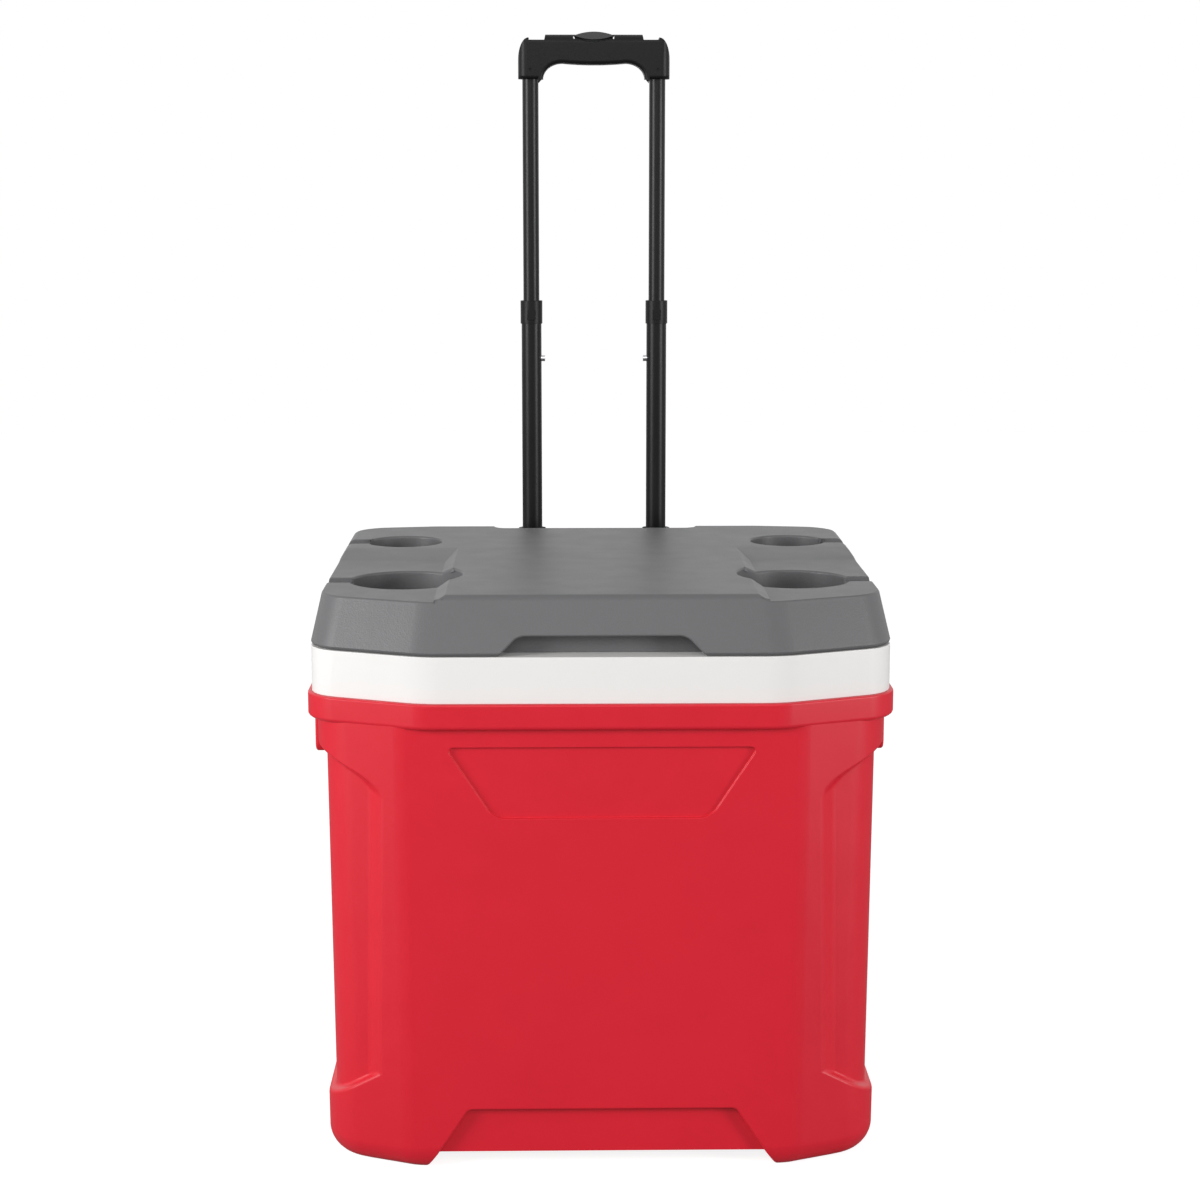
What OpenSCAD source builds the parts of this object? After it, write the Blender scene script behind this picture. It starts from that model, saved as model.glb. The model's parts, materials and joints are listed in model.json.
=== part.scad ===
// Rolling cooler chest: foamed body, hinged lid with cup wells, two wheels and a two stage tow handle.
// Millimetres. X to the right, Y to the back, Z up from the floor.

/* [Chest] */
// Width over the red rim
chest_w = 500; // [470:1:560]
// Reach of the rim in front of the chest centre
chest_front = 223.5; // [200:0.5:260]
// Reach of the rim behind the chest centre
chest_back = 221; // [205:0.5:250]
// Height of the top of the red rim
rim_top = 410; // [380:1:450]
// Height of the red rim
rim_h = 22; // [14:1:30]
// Overhang of the rim past the body
rim_overhang = 8; // [6:0.5:10]
// Width of the flat front of the rim
rim_flat = 300; // [260:1:330]
// Width of the flat front of the body
body_flat = 338; // [310:1:360]
// Run back of a front corner facet for each millimetre across
facet_slope = 0.42; // [0.3:0.01:0.5]
// Draft of the body's sides from rim to base
side_draft = 3.5; // [1:0.5:6]
// Draft of the body's front and back from rim to base
front_draft = 4; // [1:0.5:6]
// Thickness of the moulded skins
skin = 3; // [2:0.1:3.5]
// Ground clearance under the middle of the body
ground_gap = 13.5; // [10:0.5:16]
// Depth of the recesses in the sides and in the base of the front
recess_depth = 7; // [5:0.5:8]

/* [Front details] */
// Width of the top edge of the plaque recess
plaque_w = 262; // [200:1:280]
// Width of the bottom edge of the plaque recess
plaque_low_w = 182; // [150:1:195]
// Height of the plaque recess
plaque_h = 61; // [40:1:70]
// Drop from the rim to the plaque recess
plaque_drop = 16; // [10:1:24]
// Depth of the plaque recess
plaque_depth = 2.2; // [1:0.1:3]
// Width of the top edge of the recess in the base
base_recess_w = 229; // [180:1:240]
// Width of the bottom edge of the recess in the base
base_recess_low_w = 282; // [260:1:290]
// Top of the recess in the base
base_recess_top = 53.5; // [46:0.5:60]

/* [Sides] */
// Distance between the front edges of the two side recesses
side_recess_gap = 376; // [360:1:390]
// Length of a side grip
grip_lip_l = 220; // [160:1:240]
// Height of a side grip's lip
grip_lip_h = 39; // [35:1:50]
// Thickness of a side grip's lip
grip_lip_t = 8.5; // [5:0.5:9]
// Room for the fingers behind a side grip's lip
finger_room = 19; // [16:0.5:20]

/* [Liner] */
// Height of the white band over the rim
band_h = 39.5; // [30:0.5:50]
// Setback of the white band from the rim
band_inset = 3.5; // [2:0.5:6]
// Thickness of an insulated side wall at the opening
side_wall = 45; // [42:0.5:60]
// Reach of the opening in front of the chest centre
opening_front = 178; // [160:1:182]
// Reach of the opening behind the chest centre
opening_back = 172; // [160:1:176]
// Draft of each liner wall from opening to floor
liner_draft = 17; // [16.5:0.5:24]
// Height of the liner's floor
liner_floor = 58; // [52:1:70]

/* [Lid] */
// Height of the lid
lid_h = 49.2; // [46:0.2:54]
// Gap between the lid and the band
lid_gap = 0.4; // [0.3:0.1:1]
// Width of the raised panel
panel_w = 260; // [240:1:266]
// Drop of the side shelves at the front
shelf_drop = 5.7; // [4:0.1:7]
// Width of the notch in the back of the lid
notch_w = 198; // [180:1:220]
// Depth of the notch in the back of the lid
notch_d = 22; // [18:1:26]
// Diameter of a front cup well
front_cup_d = 98; // [90:1:102]
// Diameter of a back cup well
back_cup_d = 70; // [68:1:76]
// Depth of the cup wells
cup_depth = 24; // [15:1:26]
// Width of the finger recess at the bottom
pull_w = 172; // [140:1:180]
// Height of the finger recess
pull_h = 16; // [12:0.5:18]
// Depth of the finger recess
pull_depth = 22; // [15:1:24]
// Depth of the plug under the lid
plug_h = 9; // [6:0.5:12]

/* [Hinges] */
// Diameter of a hinge pin
hinge_pin_d = 5; // [4:0.5:6]
// Radius of a hinge knuckle
knuckle_r = 6.5; // [5.5:0.5:7]
// Width of a hinge
hinge_w = 60; // [50:1:70]
// Distance from a side of the rim to the middle of its hinge
hinge_inset = 100; // [90:1:110]
// Running gap between knuckles
knuckle_gap = 0.5; // [0.4:0.1:1]

/* [Wheels] */
// Diameter of a wheel over its tyre
wheel_d = 127; // [110:1:130]
// Width of a wheel
wheel_w = 32; // [26:1:34]
// Thickness of the tyre
tyre_t = 6; // [4:0.5:8]
// Axle diameter
axle_d = 10; // [8:0.5:12]
// Axle place behind the chest centre
axle_y = 190; // [188:0.5:192]
// Gap between a wheel and its well
well_gap = 7; // [5:0.5:9]
// Radial clearance of a running fit
run_gap = 0.06; // [0.02:0.01:0.1]

/* [Tow handle] */
// Setback of the tubes behind the rim
tube_setback = 55; // [55:0.5:69]
// Distance between the tubes
tube_spacing = 126; // [120:1:134]
// Outside diameter of the inner tubes
inner_d = 16; // [15:0.5:16.5]
// Outside diameter of the middle tubes
middle_d = 20; // [20:0.5:20.5]
// Outside diameter of the fixed tubes
fixed_d = 24; // [24:0.5:25]
// Wall of the tubes
tube_wall = 1.2; // [1:0.1:1.3]
// Rise of the fixed tubes over the rim
fixed_rise = 78; // [66:1:86]
// Drop of the foot of the fixed tubes below the rim
fixed_drop = 234; // [224:1:254]
// Rise of the middle collars over the rim with the handle out
middle_rise = 309; // [301:1:316]
// Rise of the foot of the middle tubes over the rim with the handle out
middle_start = 6; // [1:1:12]
// Height of a middle collar
collar_h = 23; // [18:1:26]
// Rise of the grip over the rim with the handle out
grip_rise = 570; // [561:1:581]
// Rise of the foot of the inner tubes over the rim with the handle out
inner_start = 242; // [240:1:248]
// Grip width
grip_w = 150; // [146:1:160]
// Grip depth
grip_depth = 28; // [26:1:29]
// Width of a grip leg
leg_w = 24.6; // [23:0.2:27]
// Height of a grip leg below the top of the grip
leg_h = 43; // [40:1:46]
// Height of the grip bar
bar_h = 27.5; // [24:0.5:30]
// Width of the push button
button_w = 40; // [32:1:44]
// Height of the push button
button_h = 7.5; // [6:0.5:9]
// Travel of the push button
button_travel = 2.5; // [1.5:0.1:3]
// Sliding gap between the tubes
slide_gap = 0.3; // [0.2:0.05:0.4]

/* [Drain] */
// Bore of the drain
drain_d = 18; // [14:1:20]
// Place of the drain before the chest centre
drain_y = 40; // [0:1:60]
// Height of the middle of the drain
drain_z = 78; // [74:1:90]

/* [Hidden] */
$fn = 48;

arc_steps = 6;
big = 1200;
fit = 0.2;

// Levels of the chest, from the floor up
rim_foot = rim_top - rim_h;
band_top = rim_top + band_h;
lid_foot = band_top + lid_gap;
lid_top = lid_foot + lid_h;
base_round = 20;

// Rolled base of the body: height, then how far the sides and the front and back have moved in
base_roll = [[0, 12, 10], [4, 6.5, 5.5], [11, 2, 2], [base_round, 0, 0]];

// Rolled lower edge of the rim: height, then how far it has moved in
rim_roll = [[0, 5], [2, 2], [6, 0], [rim_h, 0]];

// Levels and walls inside the body
cavity_foot = ground_gap + skin;
wall = recess_depth + skin;

// Levels of the tow handle
tube_y = chest_back + tube_setback;
fixed_top = rim_top + fixed_rise;
fixed_foot = rim_top - fixed_drop;
middle_top = rim_top + middle_rise;
middle_foot = rim_top + middle_start;
grip_top = rim_top + grip_rise;
inner_foot = rim_top + inner_start;

// Middle of the whole object from front to back
housing_back = tube_y + fixed_d / 2 + skin + 1;
y_shift = (housing_back - chest_front) / 2;

// Plan outlines: half width, front, back, front flat, front slope, back flat, back slope, corner radii
back_flat = chest_w / 2 - 80;
back_slope = 0.17;
body_slope = facet_slope - 0.03;
opening_w = chest_w - 2 * side_wall;
opening_flat = opening_w / 2 - 55;
opening_back_flat = opening_w / 2 - 45;
opening_slope = 0.3;
rim_plan = [chest_w / 2, chest_front, chest_back, rim_flat / 2, facet_slope,
            back_flat, back_slope, 80, 40, 35];
body_plan = [chest_w / 2 - rim_overhang, chest_front - rim_overhang, chest_back - rim_overhang,
             body_flat / 2, body_slope, back_flat, back_slope, 60, 46, 35];
opening_plan = [opening_w / 2, opening_front, opening_back, opening_flat, opening_slope,
                opening_back_flat, back_slope, 40, 34, 30];
tub_plan = inset_plan(opening_plan, -skin);
band_plan = inset_plan(rim_plan, band_inset);
cavity_plan = inset_plan(body_plan, wall);

// Side recesses: levels of their front edge, slopes of their ends and where they stop at the back
recess_low = 81;
recess_high = rim_foot - 55;
recess_low_fall = 0.63;
recess_high_rise = 0.41;
recess_end = 132;

// Side grips
grip_seat = chest_w / 2 - rim_overhang - 2.5;
grip_mouth_h = 14;
grip_corner_r = 9;

// Lid form: how far its walls lean in on the way up
lid_lip = 3;
lid_shoulder = lid_top - 8;
lid_side_in = 8.5;
lid_front_in = 13;
lid_back_in = 3;
crown_in = 7;
crown_turn_h = 5;
crown_bend = 0.35;
lid_lip_in = 2.5;
cup_floor = lid_top - shelf_drop - cup_depth;
front_cup = [169, -89];
back_cup = [182, 105];
shelf_back = 64;
shelf_ramp = 46;
step_run = 10;
drain_groove_w = 26;
drain_groove_d = 4;

// Hinge axis on the back edge of the lid
hinge_y = chest_back - band_inset;
hinge_z = lid_foot + knuckle_r - 3.5;
knuckle_n = 5;
knuckle_l = (hinge_w - (knuckle_n - 1) * knuckle_gap) / knuckle_n;
hinge_from = chest_w / 2 - hinge_inset - hinge_w / 2;
block_reach = knuckle_r + 5;
block_margin = 7;
notch_flare = 4;
notch_r = 12;

// Wheels tucked under the back corners
axle_z = wheel_d / 2;
wheel_out = chest_w / 2 - rim_overhang - side_draft - 5;
wheel_in = wheel_out - wheel_w;
well_in = wheel_in - 3;
well_r = wheel_d / 2 + well_gap;
well_wall = 2.2;
hub_r = 15;
cap_t = 4;
wheel_holes = 6;

// Tow handle
tube_x = tube_spacing / 2;
middle_travel = middle_top - collar_h - fixed_top - 1;
middle_bore = middle_d - 2 * tube_wall;
fixed_bore = fixed_d - 2 * tube_wall;
housing_w = tube_spacing + fixed_d + 14;
housing_foot = fixed_foot;
housing_top = rim_top + band_h / 2;
housing_wall = 4;
housing_root = chest_back - rim_overhang - 63;
housing_r = 18;
flange_w = 16;
flange_r_corner = 10;
screw_head_r = 5;
screw_r = 2.5;
flange_x = (housing_w + flange_w) / 2;
flange_back = chest_back - rim_overhang + 6;
grip_foot = grip_top - leg_h;
ear_drop = 3;
ear_w = 10.5;
ear_h = 22;
grip_notch_d = 5.3;
grip_notch_w = 15.5;
leg_bend = 19;
bar_sag = 1.5;
grip_crown_r = 8;
grip_plan_r = 9;
pin_z = middle_top - 58;
pin_out = 3.5;
pin_r = 3;
button_z = grip_top;
yoke_top = grip_top - 11;
yoke_foot = yoke_top - 6;
yoke_half = 4;
button_web = button_w / 2 - 1;
channel_foot = grip_top - bar_h + 3;
socket_top = grip_foot + 17;
rod_r = 3;
tie_z = grip_foot + 9;
tie_r = 1.5;

// Drain through the right side
sleeve_t = 2;
flange_r = drain_d / 2 + 8;
flange_t = 3.5;
flange_seat = body_plan[0] - recess_depth - side_draft - 0.8;
sleeve_in = opening_w / 2 - liner_draft + 3;
knob_t = 4.5;

// Corner of an outline turned into an arc of radius r, shortened where its edges are short
function arc_corner(a, b, c, r) =
  let (u = (a - b) / norm(a - b), v = (c - b) / norm(c - b),
       half = acos(u * v) / 2,
       reach = min(r / tan(half), 0.48 * min(norm(a - b), norm(c - b))),
       rr = reach * tan(half),
       mid = b + (u + v) / norm(u + v) * rr / sin(half),
       p = b + u * reach - mid, q = b + v * reach - mid,
       start = atan2(p[1], p[0]),
       turn = atan2(p[0] * q[1] - p[1] * q[0], p * q))
  [for (i = [0:arc_steps]) mid + rr * [cos(start + turn * i / arc_steps), sin(start + turn * i / arc_steps)]];

// Outline with a radius at every corner
function rounded(points, radii) =
  let (n = len(points))
  [for (i = [0:n - 1]) each arc_corner(points[(i + n - 1) % n], points[i], points[(i + 1) % n], radii[i])];

// Plan outline of the chest family of shapes, counter-clockwise from the front left
function outline(p) =
  let (side_front = -p[1] + p[4] * (p[0] - p[3]), side_back = p[2] - p[6] * (p[0] - p[5]))
  rounded([[-p[3], -p[1]], [p[3], -p[1]], [p[0], side_front], [p[0], side_back],
           [p[5], p[2]], [-p[5], p[2]], [-p[0], side_back], [-p[0], side_front]],
          [p[7], p[7], p[8], p[9], p[7], p[7], p[9], p[8]]);

// Outline moved in by c on every side
function inset_plan(p, c) =
  [p[0] - c, p[1] - c, p[2] - c, p[3] - c * tan(atan(p[4]) / 2), p[4],
   p[5] - c * tan(atan(p[6]) / 2), p[6], max(p[7] - c, 3), max(p[8] - c, 3), max(p[9] - c, 3)];

// One level of a drafted form: height, then how far the sides, front and back have moved in
function ring(p, s) =
  let (sx = 1 - s[1] / p[0], sy = 1 - (s[2] + s[3]) / (p[1] + p[2]))
  [for (q = outline(p)) [q[0] * sx, -p[1] + s[2] + (q[1] + p[1]) * sy, s[0]]];

// Drafted form through levels given from the bottom up
module drafted(p, levels) {
  rings = [for (s = levels) ring(p, s)];
  n = len(rings[0]);
  m = len(rings);
  sides = [for (k = [0:m - 2], i = [0:n - 1])
             let (a = k * n + i, b = k * n + (i + 1) % n, c = b + n, d = a + n)
             each [[a, d, c], [a, c, b]]];
  foot = [for (i = [0:n - 1]) i];
  head = [for (i = [n - 1:-1:0]) (m - 1) * n + i];
  polyhedron(points = [for (r = rings) each r], faces = concat([foot], sides, [head]), convexity = 6);
}

// Straight form between two heights
module prism(p, z0, z1) {
  translate([0, 0, z0])
    linear_extrude(z1 - z0)
      polygon(outline(p));
}

// Outline in the X and Z plane, run from y0 back to y1
module run_back(points, y0, y1) {
  translate([0, y1, 0])
    rotate([90, 0, 0])
      linear_extrude(y1 - y0)
        polygon(points);
}

// Outline in the Y and Z plane, run from x0 to x1
module run_across(points, x0, x1) {
  translate([x0, 0, 0])
    rotate([90, 0, 90])
      linear_extrude(x1 - x0)
        polygon(points);
}

module both_sides() {
  children();
  mirror([1, 0, 0])
    children();
}

// Cylinder along X between x0 and x1
module bar_x(x0, x1, r, y, z) {
  translate([x0, y, z])
    rotate([0, 90, 0])
      cylinder(h = x1 - x0, r = r);
}

// Cylinder along Y between y0 and y1
module bar_y(y0, y1, r, x, z) {
  translate([x, y1, z])
    rotate([90, 0, 0])
      cylinder(h = y1 - y0, r = r);
}

module bar_z(z0, z1, r, x, y) {
  translate([x, y, z0])
    cylinder(h = z1 - z0, r = r);
}

// Tube along Z with an outside radius, a bore and two ends
module pipe(z0, z1, r, bore, x, y) {
  difference() {
    bar_z(z0, z1, r, x, y);
    bar_z(z0 - 1, z1 + 1, bore, x, y);
  }
}

// Block between two corners
module block(a, b) {
  translate(a)
    cube(b - a);
}

// Outer form of the body, with its rounded base
module body_form() {
  rolled = [for (s = base_roll) [s[0], side_draft + s[1], front_draft + s[2], front_draft + s[2]]];
  drafted(body_plan, concat(rolled, [[rim_foot + 4, 0, 0, 0]]));
}

// Rim with its rounded lower edge
module rim_form() {
  drafted(rim_plan, [for (s = rim_roll) [rim_foot + s[0], s[1], s[1], s[1]]]);
}

// Surface that the side recesses go down to
module recess_core() {
  drafted(inset_plan(body_plan, recess_depth), [
    [-1, side_draft, front_draft, front_draft],
    [rim_foot + 5, 0, 0, 0]
  ]);
}

// Wedge-edged recess that wraps round one side onto the front facet
module side_recess() {
  edge = side_recess_gap / 2;
  reach = chest_w / 2 + 60;
  before = -chest_front - 20;
  across = reach - edge;
  difference() {
    intersection() {
      run_back([[edge, recess_low], [reach, recess_low - across * recess_low_fall],
                [reach, recess_high + across * recess_high_rise], [edge, recess_high]],
               before, recess_end + 20);
      translate([0, 0, -1])
        linear_extrude(rim_foot)
          polygon([[edge, before], [edge, before + 30], [edge + 40, before + 80],
                   [edge + 40, recess_end - 22], [edge + 62, recess_end], [reach, recess_end],
                    [reach, before]]);
    }
    recess_core();
  }
}

// Trapezium recess in the front with soft corners
module front_recess(top_w, low_w, top_z, low_z, depth, face_y, r) {
  run_back(rounded([[-low_w / 2, low_z], [low_w / 2, low_z], [top_w / 2, top_z], [-top_w / 2, top_z]],
                   [r, r, r, r]), -chest_front - 10, face_y + depth);
}

// Finger pocket behind a side grip, with its clearance all round
module grip_pocket(c) {
  half = grip_lip_l / 2 - 12;
  block([grip_seat - finger_room - c, -half - c, rim_foot - grip_lip_h - grip_mouth_h - c],
        [grip_seat + c, half + c, rim_foot - 5 + c]);
}

// Lip that the fingers hold, under the rim
module grip_lip() {
  half = grip_lip_l / 2;
  foot = rim_foot - grip_lip_h;
  run_across(rounded([[-half, foot], [half, foot], [half, rim_foot + 2], [-half, rim_foot + 2]],
                     [grip_corner_r, grip_corner_r, 1, 1]), grip_seat, grip_seat + grip_lip_t);
}

// Wheel well, grown by c
module well(c) {
  bar_x(well_in - c, chest_w / 2 + 30, well_r + c, axle_y, axle_z);
}

// Space inside the body skin, less the pockets that stand into it
module body_cavity(c) {
  difference() {
    drafted(inset_plan(cavity_plan, c), [
      [cavity_foot + c, side_draft, front_draft, front_draft],
      [rim_top, 0, 0, 0]
    ]);
    both_sides() {
      well(well_wall + c);
      grip_pocket(well_wall + c);
    }
  }
}

module body_shell() {
  color("firebrick")
    difference() {
      union() {
        difference() {
          body_form();
          both_sides()
            side_recess();
        }
        rim_form();
        both_sides()
          grip_lip();
      }
      body_cavity(0);
      prism(cavity_plan, rim_top - 6, rim_top + 1);
      both_sides() {
        grip_pocket(0);
        well(0);
      }
      front_recess(plaque_w, plaque_low_w, rim_foot - plaque_drop, rim_foot - plaque_drop - plaque_h,
                   plaque_depth, -body_plan[1] + 0.7, 8);
      front_recess(base_recess_w, base_recess_low_w + 20, base_recess_top, -2,
                   recess_depth, -body_plan[1] + front_draft, 6);
      under_cut();
      axle_hole(fit);
      drain_hole(0);
      bar_x(flange_seat, chest_w, flange_r + fit, -drain_y, drain_z);
      housing_screw_places()
        bar_y(0, chest_back, screw_r + fit, 0, 0);
    }
}

// Space under the body between the two front feet and the wheels
module under_cut() {
  low = base_recess_low_w / 2;
  run_back([[-low - 10, -1], [low + 10, -1], [low, ground_gap], [-low, ground_gap]],
           -chest_front - 1, chest_back + 1);
  run_across([[-70, -1], [-90, ground_gap], [chest_back + 1, ground_gap], [chest_back + 1, -1]],
             -chest_w, chest_w);
}

// Bore for the drain sleeve through skin, foam and liner
module drain_hole(c) {
  bar_x(0, chest_w, drain_d / 2 + sleeve_t + c, -drain_y, drain_z);
}

module axle_hole(c) {
  bar_x(-chest_w, chest_w, axle_d / 2 + c, axle_y, axle_z);
}

// Outer form of the tub, grown by c
module tub_form(c) {
  drafted(inset_plan(tub_plan, -c), [
    [liner_floor - skin - c, liner_draft, liner_draft / 2, liner_draft / 2],
    [band_top + 1, 0, 0, 0]
  ]);
}

module liner() {
  color("whitesmoke")
    difference() {
      union() {
        prism(band_plan, rim_top, band_top);
        intersection() {
          tub_form(0);
          block([-big, -big, 0], [big, big, band_top]);
        }
      }
      difference() {
        prism(inset_plan(band_plan, skin), rim_top - 1, band_top - skin);
        tub_form(0);
        both_sides()
          hinge_block(0);
      }
      drafted(opening_plan, [
        [liner_floor, liner_draft, liner_draft / 2, liner_draft / 2],
        [band_top + 0.5, 0, 0, 0]
      ]);
      drain_hole(0);
      both_sides()
        hinge_room();
    }
  color("whitesmoke")
    both_sides()
      chest_knuckles();
}

// Foamed insulation between the body skin and the liner
module foam_core() {
  color("lightyellow")
    difference() {
      union() {
        body_cavity(fit);
        prism(inset_plan(cavity_plan, fit), rim_top - 5, rim_top + 1);
        prism(inset_plan(band_plan, skin + fit), rim_top + fit, band_top - skin - fit);
      }
      tub_form(fit);
      axle_hole(fit);
      drain_hole(fit);
      both_sides()
        hinge_block(fit);
      housing_screw_places()
        bar_y(0, chest_back, screw_r + fit, 0, 0);
    }
}

// Solid backing of a hinge in the band and in the lid, grown by c
module hinge_block(c) {
  block([hinge_from - block_margin - c, hinge_y - block_reach - c, hinge_z - block_reach - c],
        [hinge_from + hinge_w + block_margin + c, hinge_y + c, hinge_z + block_reach + c]);
}

// Clear round for the knuckles of a hinge
module hinge_room() {
  bar_x(hinge_from - knuckle_gap, hinge_from + hinge_w + knuckle_gap, knuckle_r + knuckle_gap,
        hinge_y, hinge_z);
}

// Every second knuckle of a hinge, from the first one given, with a neck to one side
module knuckles(first, bore_r, neck_y0, neck_y1, neck_z0, neck_z1) {
  for (k = [first:2:knuckle_n - 1]) {
    x0 = hinge_from + k * (knuckle_l + knuckle_gap);
    difference() {
      union() {
        bar_x(x0, x0 + knuckle_l, knuckle_r, hinge_y, hinge_z);
        block([x0, neck_y0, neck_z0], [x0 + knuckle_l, neck_y1, neck_z1]);
      }
      bar_x(x0 - 1, x0 + knuckle_l + 1, bore_r, hinge_y, hinge_z);
    }
  }
}

module chest_knuckles() {
  knuckles(0, hinge_pin_d / 2, hinge_y - knuckle_r / 2, hinge_y + knuckle_r,
           hinge_z - block_reach + 1, hinge_z);
}

module lid_knuckles() {
  knuckles(1, hinge_pin_d / 2 + run_gap, hinge_y - block_reach + 1, hinge_y,
           hinge_z - 1, hinge_z + knuckle_r);
}

module hinge_pin(side) {
  color("silver")
    mirror([side < 0 ? 1 : 0, 0, 0])
      bar_x(hinge_from, hinge_from + hinge_w, hinge_pin_d / 2, hinge_y, hinge_z);
}

// Outer form of the lid before its panel, shelves and wells are cut
module lid_form() {
  turn = crown_in * crown_bend;
  drafted(band_plan, [
    [lid_foot, lid_lip_in, lid_lip_in, lid_lip_in],
    [lid_foot + lid_lip, 0, 0, 0],
    [lid_shoulder, lid_side_in, lid_front_in, lid_back_in],
    [lid_shoulder + crown_turn_h, lid_side_in + turn, lid_front_in + turn, lid_back_in + turn],
    [lid_top, lid_side_in + crown_in, lid_front_in + crown_in, lid_back_in + crown_in]
  ]);
}

// Space over a side shelf, bounded by the slanted step of the panel
module shelf_cut() {
  step_fall = shelf_drop / step_run;
  shelf_z = lid_top - shelf_drop;
  intersection() {
    run_across([[-big, shelf_z], [shelf_back - shelf_ramp, shelf_z], [shelf_back, lid_top],
                [shelf_back, lid_top + 50], [-big, lid_top + 50]], 0, big);
    run_back([[panel_w / 2, lid_top], [panel_w / 2 + 4 * step_run, lid_top - 4 * step_run * step_fall],
              [big, lid_top - 4 * step_run * step_fall], [big, lid_top + 50], [panel_w / 2, lid_top + 50]],
             -big, big);
  }
}

// Cup well with a groove to the side of the lid
module cup(place, d) {
  bar_z(cup_floor, lid_top + 1, d / 2, place[0], place[1]);
  block([place[0], place[1] - drain_groove_w / 2, lid_top - shelf_drop - drain_groove_d],
        [big, place[1] + drain_groove_w / 2, lid_top + 1]);
}

// Notch in the back of the lid, grown by c
module lid_notch(c) {
  w = notch_w / 2 + c;
  y0 = hinge_y - notch_d - c;
  translate([0, 0, lid_foot - 20])
    linear_extrude(lid_h + 40)
      polygon(rounded([[-w, y0], [w, y0], [w + notch_flare, big], [-w - notch_flare, big]],
                      [notch_r, notch_r, 1, 1]));
}

// Finger recess in the front of the lid, grown by c
module pull_recess(c) {
  w = pull_w / 2 + c;
  run_back(rounded([[-w, lid_foot - 20], [w, lid_foot - 20], [w, lid_foot],
                    [w - pull_h, lid_foot + pull_h + c], [-w + pull_h, lid_foot + pull_h + c],
                    [-w, lid_foot]],
                   [1, 1, 1, 5, 5, 1]), -big, -chest_front + band_inset + pull_depth + c);
}

// Space inside the lid skin, less c
module lid_cavity(c) {
  roof = lid_top - shelf_drop - skin - c;
  difference() {
    drafted(inset_plan(band_plan, skin + c), [
      [lid_foot - 1, 2.5, 2.5, 2.5],
      [lid_foot + lid_lip, 0, 0, 0],
      [roof, lid_side_in, lid_front_in, lid_back_in]
    ]);
    both_sides() {
      bar_z(cup_floor - skin - c, lid_top, front_cup_d / 2 + skin + c, front_cup[0], front_cup[1]);
      bar_z(cup_floor - skin - c, lid_top, back_cup_d / 2 + skin + c, back_cup[0], back_cup[1]);
      block([front_cup[0], front_cup[1] - drain_groove_w / 2 - skin - c, roof - drain_groove_d],
            [big, front_cup[1] + drain_groove_w / 2 + skin + c, lid_top]);
      block([back_cup[0], back_cup[1] - drain_groove_w / 2 - skin - c, roof - drain_groove_d],
            [big, back_cup[1] + drain_groove_w / 2 + skin + c, lid_top]);
      hinge_block(c);
    }
    lid_notch(skin + c);
    pull_recess(skin + c);
  }
}

module lid_shell() {
  color("dimgray")
    difference() {
      lid_form();
      lid_cavity(0);
      both_sides() {
        shelf_cut();
        cup(front_cup, front_cup_d);
        cup(back_cup, back_cup_d);
        hinge_room();
      }
      lid_notch(0);
      pull_recess(0);
    }
  color("dimgray")
    both_sides()
      lid_knuckles();
}

// Pan that closes the underside of the lid and plugs the opening
module lid_pan() {
  color("whitesmoke")
    difference() {
      union() {
        intersection() {
          lid_cavity(fit);
          block([-big, -big, lid_foot], [big, big, lid_foot + skin]);
        }
        prism(inset_plan(opening_plan, 6), lid_foot - plug_h, lid_foot + skin);
      }
      prism(inset_plan(opening_plan, 6 + skin), lid_foot - plug_h + skin, lid_foot + skin + 1);
    }
}

module lid_foam() {
  color("lightyellow") {
    intersection() {
      lid_cavity(fit);
      block([-big, -big, lid_foot + skin + fit], [big, big, lid_top]);
    }
    prism(inset_plan(opening_plan, 6 + skin + fit), lid_foot - plug_h + skin + fit,
          lid_foot + skin + 2 * fit);
  }
}

module axle() {
  color("silver")
    bar_x(-wheel_out - cap_t, wheel_out + cap_t, axle_d / 2, axle_y, axle_z);
}

module axle_cap(side) {
  color("silver")
    mirror([side < 0 ? 1 : 0, 0, 0])
      difference() {
        bar_x(wheel_out + 0.4, wheel_out + cap_t, axle_d / 2 + 4, axle_y, axle_z);
        bar_x(wheel_out, wheel_out + cap_t + 1, axle_d / 2, axle_y, axle_z);
      }
}

// Turned profile of a wheel piece, laid along X on the axle
module on_axle(side) {
  mirror([side < 0 ? 1 : 0, 0, 0])
    translate([wheel_in, axle_y, axle_z])
      rotate([0, 90, 0])
        children();
}

module wheel(side) {
  rim_r = wheel_d / 2 - tyre_t;
  bore_r = axle_d / 2 + run_gap;
  web = 5;
  mid = wheel_w / 2;
  edge = 1;
  bead_r = rim_r - 4;
  web_r = rim_r - 7;
  hole_r = 11;
  color("black")
    on_axle(side)
      difference() {
        rotate_extrude($fn = 96)
          polygon([[bore_r, 0], [hub_r, 0], [hub_r, mid - web / 2], [web_r, mid - web / 2],
                   [bead_r, edge], [rim_r, edge], [rim_r, wheel_w - edge], [bead_r, wheel_w - edge],
                   [web_r, mid + web / 2], [hub_r, mid + web / 2], [hub_r, wheel_w], [bore_r, wheel_w]]);
        for (k = [0:wheel_holes - 1])
          rotate(360 * k / wheel_holes)
            translate([(hub_r + web_r) / 2, 0, -1])
              cylinder(h = wheel_w + 2, r = hole_r);
      }
}

module tyre(side) {
  r = wheel_d / 2;
  color("black")
    on_axle(side)
      rotate_extrude($fn = 96)
        polygon(rounded([[r - tyre_t, 1], [r, 1], [r, wheel_w - 1], [r - tyre_t, wheel_w - 1]],
                        [0.5, 4, 4, 0.5]));
}

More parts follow.
